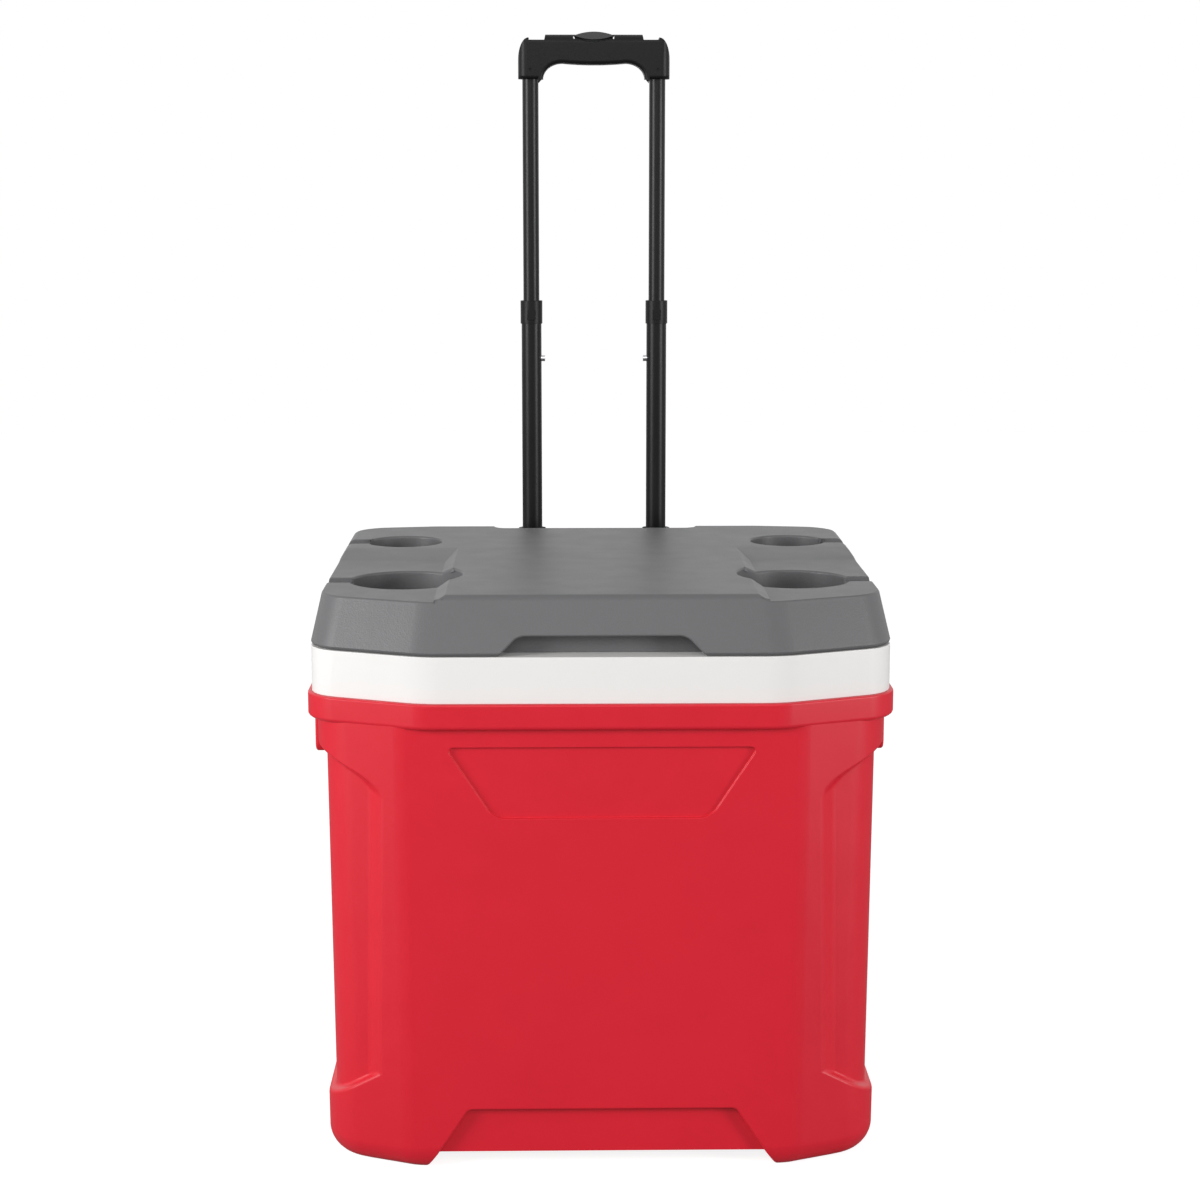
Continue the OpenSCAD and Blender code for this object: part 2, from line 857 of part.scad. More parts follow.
module housing_screw_places() {
  for (side = [-1, 1], z = [housing_foot + 25, (housing_foot + rim_foot) / 2, rim_foot - 30])
    translate([side * flange_x, 0, z])
      children();
}

// Moulded housing on the back of the chest that holds the fixed tubes
module handle_housing() {
  w = housing_w / 2;
  flange_half = w + flange_w;
  flange_foot = housing_foot + 10;
  flange_top = rim_foot - 8;
  color("black")
    difference() {
      union() {
        translate([0, 0, housing_foot])
          linear_extrude(housing_top - housing_foot)
            polygon(rounded([[-w, housing_root], [w, housing_root], [w, housing_back], [-w, housing_back]],
                            [1, 1, housing_r, housing_r]));
        run_back(rounded([[-flange_half, flange_foot], [flange_half, flange_foot],
                          [flange_half, flange_top], [-flange_half, flange_top]],
                         [for (k = [0:3]) flange_r_corner]), housing_root, flange_back);
      }
      body_form();
      rim_form();
      prism(band_plan, rim_top - 1, band_top);
      block([-tube_x + fixed_d / 2 + housing_wall, housing_root - 50, housing_foot - 1],
            [tube_x - fixed_d / 2 - housing_wall, housing_back - housing_wall, housing_top - housing_wall]);
      for (side = [-1, 1])
        bar_z(housing_foot - 1, housing_top + 1, fixed_d / 2, side * tube_x, tube_y);
      housing_screw_places()
        bar_y(0, big, screw_r, 0, 0);
    }
}

module housing_screws() {
  color("silver")
    housing_screw_places() {
      bar_y(flange_back - 6 - wall + 1, flange_back, screw_r, 0, 0);
      bar_y(flange_back, flange_back + 3, screw_head_r, 0, 0);
    }
}

// Room for a lock pin on the inward side of a tube
module pin_slot(side) {
  y0 = tube_y - pin_r - 0.6;
  block([side > 0 ? tube_x - fixed_d : -tube_x, y0, pin_z - middle_travel - pin_r - 1.5],
        [side > 0 ? tube_x : -tube_x + fixed_d, tube_y + pin_r + 0.6, fixed_top + 5]);
}

module fixed_tube(side) {
  color("black")
    difference() {
      pipe(fixed_foot, fixed_top, fixed_d / 2, fixed_bore / 2, side * tube_x, tube_y);
      pin_slot(side);
    }
}

module fixed_collar(side) {
  color("black")
    difference() {
      pipe(fixed_top - 16, fixed_top, fixed_d / 2 + 2, fixed_d / 2, side * tube_x, tube_y);
      pin_slot(side);
    }
}

module middle_tube(side) {
  color("black")
    pipe(middle_foot, middle_top - 2, middle_d / 2, middle_bore / 2, side * tube_x, tube_y);
}

// Collar on a middle tube with its snap tab at the front
module middle_collar(side) {
  x = side * tube_x;
  foot = middle_top - collar_h;
  r = middle_d / 2 + 1;
  color("black")
    difference() {
      union() {
        bar_z(foot, middle_top, r, x, tube_y);
        block([x - 4, tube_y - r - 0.8, foot + 4], [x + 4, tube_y, foot + 14]);
      }
      bar_z(foot - 1, middle_top - 2, middle_d / 2, x, tube_y);
      bar_z(foot - 1, middle_top + 1, inner_d / 2 + slide_gap, x, tube_y);
    }
}

// Guide on the foot of a middle tube
module middle_guide(side) {
  color("gray") {
    bar_z(middle_foot - 10, middle_foot, fixed_bore / 2 - slide_gap, side * tube_x, tube_y);
    bar_z(middle_foot, middle_foot + 4, middle_bore / 2, side * tube_x, tube_y);
  }
}

module lock_pins() {
  color("silver")
    both_sides()
      difference() {
        bar_x(tube_x - middle_d / 2 - pin_out, tube_x, pin_r, tube_y, pin_z);
        bar_z(pin_z - 20, pin_z + 20, middle_d / 2, tube_x, tube_y);
      }
}

module inner_tube(side) {
  color("black")
    pipe(inner_foot, socket_top, inner_d / 2, inner_d / 2 - tube_wall, side * tube_x, tube_y);
}

// Guide on the foot of an inner tube
module inner_guide(side) {
  color("gray") {
    bar_z(inner_foot - 8, inner_foot, middle_bore / 2 - slide_gap, side * tube_x, tube_y);
    bar_z(inner_foot, inner_foot + 10, inner_d / 2 - tube_wall, side * tube_x, tube_y);
  }
}

// Half of the lens of the push button, from its tip on the left to its tip on the right
function lens_arc(rise, lift) =
  [for (t = [-1:0.125:1]) [t * button_w / 2, button_z - button_h / 6 + lift + rise * (1 - t * t)]];

// Points of an oval's quarter turn, from one angle to another
function quarter(middle, reach, from, to) =
  [for (i = [0:8])
     let (t = from + (to - from) * i / 8)
     [middle[0] + reach[0] * cos(t), middle[1] + reach[1] * sin(t)]];

// Whole grip before it is parted into its front and its back
module grip_form() {
  w = grip_w / 2;
  inner = w - leg_w;
  under = grip_top - bar_h;
  ear = grip_top - ear_drop;
  floor_z = grip_top - grip_notch_d;
  notch_in = w - ear_w - grip_notch_w;
  half = grip_depth / 2;
  bend = inner - leg_bend;
  right = concat(
    [for (x = [bend / 4, bend * 0.65]) [x, under - bar_sag * (1 - pow(x / bend, 2))]],
    quarter([bend, grip_foot], [leg_bend, under - grip_foot], 90, 0),
    [[w, grip_foot]],
    quarter([w - ear_w, ear - ear_h], [ear_w, ear_h], 0, 90),
    [[w - ear_w, floor_z], [notch_in, floor_z], [notch_in - 1, grip_top]]);
  left = [for (i = [len(right) - 1:-1:0]) [-right[i][0], right[i][1]]];
  intersection() {
    run_back(concat(right, left), tube_y - half, tube_y + half);
    run_across(rounded([[tube_y - half, grip_foot - 1], [tube_y + half, grip_foot - 1],
                        [tube_y + half, grip_top], [tube_y - half, grip_top]],
                       [1, 1, grip_crown_r, grip_crown_r]), -big, big);
    translate([0, 0, grip_foot - 1])
      linear_extrude(leg_h + 5)
        polygon(rounded([[-w, tube_y - half], [w, tube_y - half], [w, tube_y + half], [-w, tube_y + half]],
                        [for (i = [0:3]) grip_plan_r]));
  }
}

// Room inside the grip for the tubes, the button and what it pushes
module grip_room() {
  gap = 0.4;
  pocket = concat([for (q = lens_arc(-button_h / 2, -button_travel - gap)) q],
                  [[button_w / 2 + gap, button_z - button_travel - 2], [button_w / 2 + gap, grip_top + 5],
                   [-button_w / 2 - gap, grip_top + 5], [-button_w / 2 - gap, button_z - button_travel - 2]]);
  run_back(pocket, tube_y - grip_depth, tube_y + grip_depth);
  block([-tube_x - yoke_half - gap, tube_y - yoke_half - gap, channel_foot],
        [tube_x + yoke_half + gap, tube_y + yoke_half + gap, yoke_top + gap]);
  block([-button_web - gap, tube_y - yoke_half - gap, yoke_top - 1],
        [button_web + gap, tube_y + yoke_half + gap, button_z]);
  for (side = [-1, 1]) {
    bar_z(grip_foot - 1, socket_top, inner_d / 2, side * tube_x, tube_y);
    bar_z(socket_top - 1, channel_foot + 1, rod_r + gap, side * tube_x, tube_y);
    bar_y(tube_y - grip_depth, tube_y + grip_depth, tie_r, side * tube_x, tie_z);
  }
}

module grip_half(side) {
  color("black")
    difference() {
      intersection() {
        grip_form();
        block([-big, side < 0 ? tube_y - 50 : tube_y, 0], [big, side < 0 ? tube_y : tube_y + 50, big]);
      }
      grip_room();
    }
}

// Ties between the grip and the inner tubes
module grip_screws() {
  reach = grip_depth / 2 - 1.2;
  color("silver")
    for (side = [-1, 1], face = [-1, 1])
      difference() {
        bar_y(tube_y + min(0, face * reach), tube_y + max(0, face * reach), tie_r, side * tube_x, tie_z);
        bar_z(tie_z - 10, tie_z + 10, inner_d / 2, side * tube_x, tube_y);
      }
}

module push_button() {
  half = grip_depth / 2 - 0.5;
  low = lens_arc(-button_h / 2, 0);
  high = lens_arc(button_h / 2, 0);
  n = len(high);
  lens = concat(low, [for (i = [n - 2:-1:1]) high[i]]);
  color("black") {
    run_back(lens, tube_y - half, tube_y + half);
    block([-button_web, tube_y - yoke_half, yoke_top],
          [button_web, tube_y + yoke_half, button_z - button_h / 6]);
  }
}

// Yoke under the button with a rod down each inner tube
module release_yoke() {
  color("silver") {
    block([-tube_x - yoke_half, tube_y - yoke_half, yoke_foot],
          [tube_x + yoke_half, tube_y + yoke_half, yoke_top]);
    for (side = [-1, 1])
      bar_z(inner_foot + 16, yoke_foot, rod_r, side * tube_x, tube_y);
  }
}

// Return spring under the yoke, one unbroken wire of round turns
module button_spring() {
  turns = 4;
  per_turn = 12;
  wire_r = 0.45;
  coil_r = 3;
  low = channel_foot + wire_r + 0.1;
  high = yoke_foot - wire_r - 0.1;
  sides = 6;
  steps = turns * per_turn;
  pitch = (high - low) / turns;
  rings = [for (i = [0:steps])
             let (a = 360 * i / per_turn, z = low + pitch * i / per_turn)
             [for (k = [0:sides - 1])
                let (r = coil_r + wire_r * cos(360 * k / sides))
                [r * cos(a), tube_y + r * sin(a), z + wire_r * sin(360 * k / sides)]]];
  walls = [for (i = [0:steps - 1], k = [0:sides - 1])
             let (a = i * sides + k, b = i * sides + (k + 1) % sides)
             each [[a, b + sides, a + sides], [a, b, b + sides]]];
  first = [for (k = [sides - 1:-1:0]) k];
  last = [for (k = [0:sides - 1]) steps * sides + k];
  color("silver")
    polyhedron(points = [for (r = rings) each r], faces = concat([first], walls, [last]), convexity = 8);
}

module drain_sleeve() {
  color("white")
    difference() {
      union() {
        bar_x(sleeve_in, flange_seat, drain_d / 2 + sleeve_t, -drain_y, drain_z);
        bar_x(flange_seat, flange_seat + flange_t, flange_r, -drain_y, drain_z);
      }
      bar_x(sleeve_in - 1, flange_seat + flange_t + 1, drain_d / 2, -drain_y, drain_z);
    }
}

module drain_plug() {
  x0 = flange_seat + flange_t;
  color("white") {
    bar_x(sleeve_in, x0, drain_d / 2 - slide_gap, -drain_y, drain_z);
    bar_x(x0, x0 + knob_t - 2, flange_r - 2, -drain_y, drain_z);
    block([x0, -drain_y - flange_r + 4, drain_z - 3], [x0 + knob_t, -drain_y + flange_r - 4, drain_z + 3]);
  }
}

// Brings the middle of the object's footprint to the origin
module place() {
  translate([0, -y_shift, 0])
    children();
}

place() body_shell();
place() liner();
place() foam_core();
place() lid_shell();
place() lid_pan();
place() lid_foam();
place() hinge_pin(-1);  // hinge_pin_left
place() hinge_pin(1);  // hinge_pin_right
place() axle();
place() axle_cap(-1);  // axle_cap_left
place() axle_cap(1);  // axle_cap_right
place() wheel(-1);  // wheel_left
place() wheel(1);  // wheel_right
place() tyre(-1);  // tyre_left
place() tyre(1);  // tyre_right
place() handle_housing();
place() housing_screws();
place() fixed_tube(-1);  // fixed_tube_left
place() fixed_tube(1);  // fixed_tube_right
place() fixed_collar(-1);  // fixed_collar_left
place() fixed_collar(1);  // fixed_collar_right
place() middle_tube(-1);  // middle_tube_left
place() middle_tube(1);  // middle_tube_right
place() middle_collar(-1);  // middle_collar_left
place() middle_collar(1);  // middle_collar_right
place() middle_guide(-1);  // middle_guide_left
place() middle_guide(1);  // middle_guide_right
place() lock_pins();
place() inner_tube(-1);  // inner_tube_left
place() inner_tube(1);  // inner_tube_right
place() inner_guide(-1);  // inner_guide_left
place() inner_guide(1);  // inner_guide_right
place() grip_half(-1);  // grip_front
place() grip_half(1);  // grip_back
place() grip_screws();
place() push_button();
place() release_yoke();
place() button_spring();
place() drain_sleeve();
place() drain_plug();
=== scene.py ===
"""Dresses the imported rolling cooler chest: smooth moulded shells, finishes, studio and camera."""

import json
import logging
import math
from dataclasses import dataclass, field, replace
from enum import Enum

import bmesh
import bpy
from mathutils import Matrix, Vector

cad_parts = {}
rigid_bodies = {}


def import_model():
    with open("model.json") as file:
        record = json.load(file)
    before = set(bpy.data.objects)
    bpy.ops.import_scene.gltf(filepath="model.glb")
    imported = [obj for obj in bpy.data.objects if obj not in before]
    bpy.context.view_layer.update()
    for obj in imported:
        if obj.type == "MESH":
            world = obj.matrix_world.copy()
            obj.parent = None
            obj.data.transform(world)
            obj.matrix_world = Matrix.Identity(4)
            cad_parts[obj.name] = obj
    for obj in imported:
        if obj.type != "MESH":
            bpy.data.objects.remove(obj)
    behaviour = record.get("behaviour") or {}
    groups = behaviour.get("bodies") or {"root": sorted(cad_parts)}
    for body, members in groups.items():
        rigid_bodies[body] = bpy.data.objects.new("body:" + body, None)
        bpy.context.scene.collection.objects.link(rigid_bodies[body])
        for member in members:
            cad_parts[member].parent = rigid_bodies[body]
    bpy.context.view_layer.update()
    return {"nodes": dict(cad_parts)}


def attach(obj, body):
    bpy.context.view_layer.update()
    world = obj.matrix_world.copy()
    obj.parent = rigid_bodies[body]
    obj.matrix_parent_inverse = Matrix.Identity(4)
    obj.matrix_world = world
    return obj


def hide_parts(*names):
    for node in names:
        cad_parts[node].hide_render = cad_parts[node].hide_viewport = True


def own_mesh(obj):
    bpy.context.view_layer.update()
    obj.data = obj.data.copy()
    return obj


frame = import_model()

LOG = logging.getLogger("cooler_chest")
MM = 0.001
FRAME_SHIFT = 34.25
CREASE = math.radians(24)

Colour = tuple[float, float, float]
Point = tuple[float, float, float]


class Slot(Enum):
    """The record's material slots."""

    RED_BODY = "red_body"
    WHITE_LINER = "white_liner"
    GREY_LID = "grey_lid"
    FOAM = "foam"
    BLACK_PLASTIC = "black_plastic"
    GREY_PLASTIC = "grey_plastic"
    BLACK_TUBE = "black_tube"
    STEEL = "steel"
    TYRE = "tyre"


class Body(Enum):
    """The bodies that pieces ride on."""

    CHEST = "chest"
    LID = "lid"
    WHEEL_LEFT = "wheel_left"
    WHEEL_RIGHT = "wheel_right"
    MIDDLE_STAGE = "middle_stage"
    INNER_STAGE = "inner_stage"
    BUTTON = "button"
    DRAIN_PLUG = "drain_plug"


# Shader building


class Value:
    """A number on a node's output that takes part in Python maths."""

    def __init__(self, nodes: "Nodes", output: bpy.types.NodeSocket) -> None:
        """Wraps a node's output socket."""
        self.nodes = nodes
        self.output = output

    def _math(self, operation: str, first: "Value | float", second: "Value | float") -> "Value":
        """Adds a Math node.

        Args:
            operation: the Math node's operation.
            first: its first number.
            second: its second number.

        Returns:
            The node's result.
        """
        return self.nodes.node("ShaderNodeMath", {"operation": operation}, {0: first, 1: second})

    def __add__(self, other: "Value | float") -> "Value":
        """Sum."""
        return self._math("ADD", self, other)

    __radd__ = __add__

    def __mul__(self, other: "Value | float") -> "Value":
        """Product."""
        return self._math("MULTIPLY", self, other)

    __rmul__ = __mul__

    def most(self, other: "Value | float") -> "Value":
        """The larger of two."""
        return self._math("MAXIMUM", self, other)


class Nodes:
    """An emptied node tree that is being filled."""

    def __init__(self, owner: bpy.types.Material | bpy.types.World) -> None:
        """Empties the nodes of a material or a world."""
        owner.use_nodes = True
        self.tree = owner.node_tree
        self.tree.nodes.clear()

    def node(self, kind: str, settings: dict, inputs: dict, out: str | int = 0) -> Value | None:
        """Adds a node.

        Args:
            kind: the node's type.
            settings: its own properties.
            inputs: values or links by socket name or number.
            out: the output to hand on.

        Returns:
            The chosen output, where the node has one.
        """
        made = self.tree.nodes.new(kind)
        for key, value in settings.items():
            setattr(made, key, value)
        for key, value in inputs.items():
            self.feed(made, key, value)
        return Value(self, made.outputs[out]) if made.outputs else None

    def feed(self, node: bpy.types.Node, key: str | int, value: object) -> None:
        """Sets or links one input.

        Args:
            node: the node that takes it.
            key: the socket's name or number.
            value: a number, a colour or a Value.
        """
        if isinstance(value, Value):
            self.tree.links.new(value.output, node.inputs[key])
        else:
            node.inputs[key].default_value = value

    def ray(self, kind: str) -> Value:
        """1 where a ray is of that kind."""
        return self.node("ShaderNodeLightPath", {}, {}, f"Is {kind} Ray")


class Shader(Nodes):
    """One material and the nodes in it."""

    def __init__(self, name: str) -> None:
        """Starts a material with a Principled shader on its output."""
        self.material = bpy.data.materials.new(name)
        super().__init__(self.material)
        self.surface = self.tree.nodes.new("ShaderNodeBsdfPrincipled")
        self.node("ShaderNodeOutputMaterial", {}, {"Surface": Value(self, self.surface.outputs[0])})

    def place(self) -> Value:
        """The point on the piece, in metres."""
        return self.node("ShaderNodeTexCoord", {}, {}, "Object")

    def stretched(self, scale: Point) -> Value:
        """The point on the piece, scaled along each axis."""
        return self.node("ShaderNodeMapping", {}, {"Vector": self.place(), "Scale": scale})

    def noise(self, cell: float, detail: float = 2.0, at: Value | None = None) -> Value:
        """Soft noise from 0 to 1.

        Args:
            cell: the size of a cell, in metres.
            detail: octaves of finer noise.
            at: the point it is read at.

        Returns:
            The noise.
        """
        inputs = {"Vector": at or self.place(), "Scale": 1.0 / cell, "Detail": detail}
        return self.node("ShaderNodeTexNoise", {}, inputs, "Fac")

    def cells(self, cell: float) -> Value:
        """Distance to the nearest of scattered points, in cells.

        Args:
            cell: the size of a cell, in metres.

        Returns:
            The distance.
        """
        inputs = {"Vector": self.place(), "Scale": 1.0 / cell}
        return self.node("ShaderNodeTexVoronoi", {}, inputs, "Distance")

    def mix(self, factor: Value, first: Colour, second: Colour) -> Value:
        """A colour between two.

        Args:
            factor: 0 for the first, 1 for the second.
            first: a colour.
            second: a colour.

        Returns:
            The mixed colour.
        """
        inputs = {0: factor, 6: (*first, 1.0), 7: (*second, 1.0)}
        return self.node("ShaderNodeMix", {"data_type": "RGBA"}, inputs, 2)

    def bump(self, height: Value, depth: float, under: Value | None = None) -> Value:
        """A bumped normal.

        Args:
            height: the height, from 0 to 1.
            depth: what 1 is, in metres.
            under: a normal to bump on.

        Returns:
            The normal.
        """
        inputs = {"Height": height, "Distance": depth, "Strength": 1.0}
        if under:
            inputs["Normal"] = under
        return self.node("ShaderNodeBump", {}, inputs)

    def finish(self, **sockets: object) -> bpy.types.Material:
        """Feeds the surface.

        Args:
            sockets: values by socket name, with _ for a space.

        Returns:
            The material.
        """
        for key, value in sockets.items():
            self.feed(self.surface, key.replace("_", " "), value)
        return self.material


def shade(colour: Colour, amount: float) -> Colour:
    """A colour made lighter or darker.

    Args:
        colour: the colour.
        amount: what it is multiplied by.

    Returns:
        The new colour.
    """
    return tuple(min(1.0, channel * amount) for channel in colour)


@dataclass(frozen=True)
class MouldedPlastic:
    """Moulded plastic with a spark-eroded grain and a slow drift in tone."""

    name: str
    slot: Slot
    colour: Colour
    roughness: float
    grain: float = 0.9 * MM
    grain_depth: float = 0.02 * MM
    pebble: float = 2.2 * MM
    pebble_depth: float = 0.0
    drift: float = 0.03
    specular: float = 0.5

    def material(self) -> bpy.types.Material:
        """The finish as a material."""
        shader = Shader(self.name)
        slow = shader.noise(140 * MM, 3.0)
        flow = shader.noise(26 * MM, 4.0)
        tone = slow * 0.65 + flow * 0.35
        dark, light = (shade(self.colour, 1 + 2 * drift) for drift in (-self.drift, self.drift))
        colour = shader.mix(tone, dark, light)
        roughness = self.roughness - 0.06 + 0.12 * flow
        normal = shader.bump(shader.noise(self.grain, 2.0), self.grain_depth)
        if self.pebble_depth:
            normal = shader.bump(shader.cells(self.pebble), self.pebble_depth, normal)
        return shader.finish(
            Base_Color=colour, Roughness=roughness, Normal=normal, Specular_IOR_Level=self.specular
        )


@dataclass(frozen=True)
class PaintedTube:
    """Black enamel on drawn steel tube, with faint draw lines along it."""

    name: str
    slot: Slot
    colour: Colour
    roughness: float
    line: float = 0.5 * MM
    specular: float = 0.2

    def material(self) -> bpy.types.Material:
        """The finish as a material."""
        shader = Shader(self.name)
        lines = shader.noise(self.line, 2.0, shader.stretched((1.0, 1.0, 0.01)))
        peel = shader.noise(3.0 * MM, 2.0)
        rubbed = shader.noise(30 * MM, 5.0)
        colour = shader.mix(rubbed, shade(self.colour, 0.85), shade(self.colour, 1.2))
        normal = shader.bump(lines, 0.004 * MM, shader.bump(peel, 0.02 * MM))
        return shader.finish(
            Base_Color=colour, Roughness=self.roughness - 0.05 + 0.1 * rubbed, Normal=normal,
            Specular_IOR_Level=self.specular
        )


@dataclass(frozen=True)
class BrightSteel:
    """Plated steel with fine scratches."""

    name: str
    slot: Slot
    colour: Colour = (0.62, 0.62, 0.64)
    roughness: float = 0.28

    def material(self) -> bpy.types.Material:
        """The finish as a material."""
        shader = Shader(self.name)
        scratch = shader.noise(0.6 * MM, 3.0, shader.stretched((0.08, 1.0, 1.0)))
        stain = shader.noise(9 * MM, 3.0)
        colour = shader.mix(stain, shade(self.colour, 0.86), shade(self.colour, 1.08))
        normal = shader.bump(scratch, 0.006 * MM)
        return shader.finish(
            Base_Color=colour, Roughness=self.roughness - 0.08 + 0.2 * stain, Normal=normal, Metallic=1.0
        )


@dataclass(frozen=True)
class RigidFoam:
    """Poured insulating foam with open pores."""

    name: str
    slot: Slot
    colour: Colour = (0.78, 0.66, 0.40)

    def material(self) -> bpy.types.Material:
        """The finish as a material."""
        shader = Shader(self.name)
        pores = shader.cells(1.6 * MM)
        colour = shader.mix(shader.noise(18 * MM, 3.0), shade(self.colour, 0.9), shade(self.colour, 1.06))
        return shader.finish(Base_Color=colour, Roughness=0.9, Normal=shader.bump(pores, 0.4 * MM))


RED = MouldedPlastic("red_body_finish", Slot.RED_BODY, (0.64, 0.008, 0.024), 0.40, specular=0.45)
WHITE = MouldedPlastic("white_liner_finish", Slot.WHITE_LINER, (0.81, 0.80, 0.785), 0.38, drift=0.008)
GREY = MouldedPlastic(
    "grey_lid_finish", Slot.GREY_LID, (0.118, 0.117, 0.121), 0.44, pebble=1.2 * MM,
    pebble_depth=0.10 * MM, specular=0.36
)
BLACK = MouldedPlastic(
    "black_plastic_finish", Slot.BLACK_PLASTIC, (0.006, 0.006, 0.006), 0.42, pebble=1.3 * MM,
    pebble_depth=0.04 * MM, specular=0.18
)
DARK_GREY = MouldedPlastic(
    "grey_plastic_finish", Slot.GREY_PLASTIC, (0.045, 0.045, 0.047), 0.45, specular=0.3
)
TUBE = PaintedTube("black_tube_finish", Slot.BLACK_TUBE, (0.004, 0.004, 0.004), 0.36, specular=0.22)
STEEL = BrightSteel("steel_finish", Slot.STEEL)
TYRE = MouldedPlastic("tyre_finish", Slot.TYRE, (0.024, 0.024, 0.025), 0.62, grain_depth=0.05 * MM)
FOAM = RigidFoam("foam_finish", Slot.FOAM)


# Meshes


@dataclass(frozen=True)
class Softening:
    """How a moulding's corners are rounded."""

    radius: float
    segments: int = 3
    from_angle: float = math.radians(28)
    flat_within: float = math.radians(0.4)
    weld: float = 0.02 * MM


def soft_copy(node: str, soft: Softening) -> bpy.types.Object:
    """A rounded copy of a solid, with its flat faces joined up and its sharp corners rolled over.

    Args:
        node: the solid it is copied from.
        soft: how its corners are rounded.

    Returns:
        The new object, at the origin.
    """
    shape = bmesh.new()
    shape.from_mesh(frame["nodes"][node].data)
    bmesh.ops.remove_doubles(shape, verts=shape.verts, dist=soft.weld)
    bmesh.ops.dissolve_limit(
        shape, angle_limit=soft.flat_within, use_dissolve_boundaries=False,
        verts=shape.verts, edges=shape.edges
    )
    corners = [e for e in shape.edges if e.is_manifold and e.calc_face_angle() > soft.from_angle]
    if soft.radius > 0:
        bmesh.ops.bevel(
            shape, geom=corners, offset=soft.radius, offset_type="OFFSET", segments=soft.segments,
            profile=0.5, affect="EDGES", clamp_overlap=False, material=-1, miter_outer="ARC",
            loop_slide=True
        )
    return as_piece(node + "_soft", shape)


def as_piece(name: str, shape: bmesh.types.BMesh) -> bpy.types.Object:
    """A smooth-shaded object from a finished bmesh.

    Args:
        name: the piece's name.
        shape: the bmesh, which is freed.

    Returns:
        The object.
    """
    mesh = bpy.data.meshes.new(name)
    for face in shape.faces:
        face.smooth = True
    shape.to_mesh(mesh)
    shape.free()
    mesh.set_sharp_from_angle(angle=CREASE)
    piece = bpy.data.objects.new(name, mesh)
    bpy.context.scene.collection.objects.link(piece)
    weighted = piece.modifiers.new("even_shading", "WEIGHTED_NORMAL")
    weighted.keep_sharp = True
    return piece


@dataclass
class Workshop:
    """Keeps one material for each finish and puts finished pieces on their bodies."""

    materials: dict[str, bpy.types.Material] = field(default_factory=dict)

    def material(self, finish: object) -> bpy.types.Material:
        """The one material of a finish."""
        if finish.name not in self.materials:
            self.materials[finish.name] = finish.material()
        return self.materials[finish.name]

    def mount(self, piece: bpy.types.Object, body: Body, finish: object, *nodes: str) -> bpy.types.Object:
        """Dresses a piece and puts it on its body.

        Args:
            piece: the new piece.
            body: the body that it rides on.
            finish: its finish.
            nodes: the solids that it stands for.

        Returns:
            The piece.
        """
        piece.data.materials.clear()
        piece.data.materials.append(self.material(finish))
        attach(piece, body.value)
        if nodes:
            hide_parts(*nodes)
        LOG.info("%s on %s in %s", piece.name, body.value, finish.name)
        return piece

    def dress(self, node: str, finish: object) -> None:
        """Gives a solid that stays its finish.

        Args:
            node: the solid.
            finish: its finish.
        """
        solid = frame["nodes"][node]
        solid.data.materials.clear()
        solid.data.materials.append(self.material(finish))
        LOG.info("%s kept in %s", node, finish.name)

    def soften(self, node: str, body: Body, finish: object, soft: Softening) -> bpy.types.Object:
        """Stands a rounded copy in for a solid.

        Args:
            node: the solid.
            body: the body that it rides on.
            finish: its finish.
            soft: how its corners are rounded.

        Returns:
            The new piece.
        """
        return self.mount(soft_copy(node, soft), body, finish, node)


# Carved mouldings, in millimetres in the chest's own frame


WELD = 0.01
FOLD = 0.02
FLAT = math.radians(0.05)
LONGEST_ROUND = 0.48
ORDER = Vector((1.0, 1.4142, 1.7321))


class Tag(Enum):
    """What made a face of a carved moulding."""

    SKIN = 0
    RIM = 1
    LIP = 2
    RECESS = 3
    RECESS_FLOOR = 4
    PLAQUE = 5
    BASE = 6
    UNDER = 7
    WELL = 8
    POCKET = 9
    DRAIN = 10
    HOLLOW = 11
    SHELF = 12
    CUP = 13
    GROOVE = 14
    NOTCH = 15
    PULL = 16
    HINGE = 17
    GRIP = 18
    FACE = 19
    ROOM = 20
    SEAM = 21


@dataclass(frozen=True)
class Plan:
    """Plan outline with eight rounded corners."""

    half: float
    front: float
    back: float
    flat: float
    slope: float
    back_flat: float
    back_slope: float
    front_r: float
    side_r: float
    rear_r: float
    least_r: float = 3.0

    def inset(self, by: float) -> "Plan":
        """The outline moved in on every side.

        Args:
            by: how far, or out where negative.

        Returns:
            The new outline.
        """
        return replace(
            self,
            half=self.half - by,
            front=self.front - by,
            back=self.back - by,
            flat=self.flat - by * math.tan(math.atan(self.slope) / 2),
            back_flat=self.back_flat - by * math.tan(math.atan(self.back_slope) / 2),
            front_r=max(self.front_r - by, self.least_r),
            side_r=max(self.side_r - by, self.least_r),
            rear_r=max(self.rear_r - by, self.least_r),
        )

    def corners(self) -> list[tuple[float, float, float]]:
        """The eight corners as x, y and radius, counter-clockwise from the front left."""
        side_front = -self.front + self.slope * (self.half - self.flat)
        side_back = self.back - self.back_slope * (self.half - self.back_flat)
        right = [
            (self.flat, -self.front, self.front_r),
            (self.half, side_front, self.side_r),
            (self.half, side_back, self.rear_r),
            (self.back_flat, self.back, self.front_r),
        ]
        left = [(-x, y, r) for x, y, r in reversed(right)]
        return left[3:] + right + left[:3]

    def level(self, z: float, side: float, front: float, back: float) -> Matrix:
        """The change from the flat outline to one level of a drafted form.

        Args:
            z: the level's height.
            side: how far the sides have moved in.
            front: how far the front has moved in.
            back: how far the back has moved in.

        Returns:
            The matrix.
        """
        across = 1 - side / self.half
        along = 1 - (front + back) / (self.front + self.back)
        return Matrix((
            (across, 0, 0, 0),
            (0, along, 0, -self.front + front + self.front * along),
            (0, 0, 1, z),
            (0, 0, 0, 1),
        ))


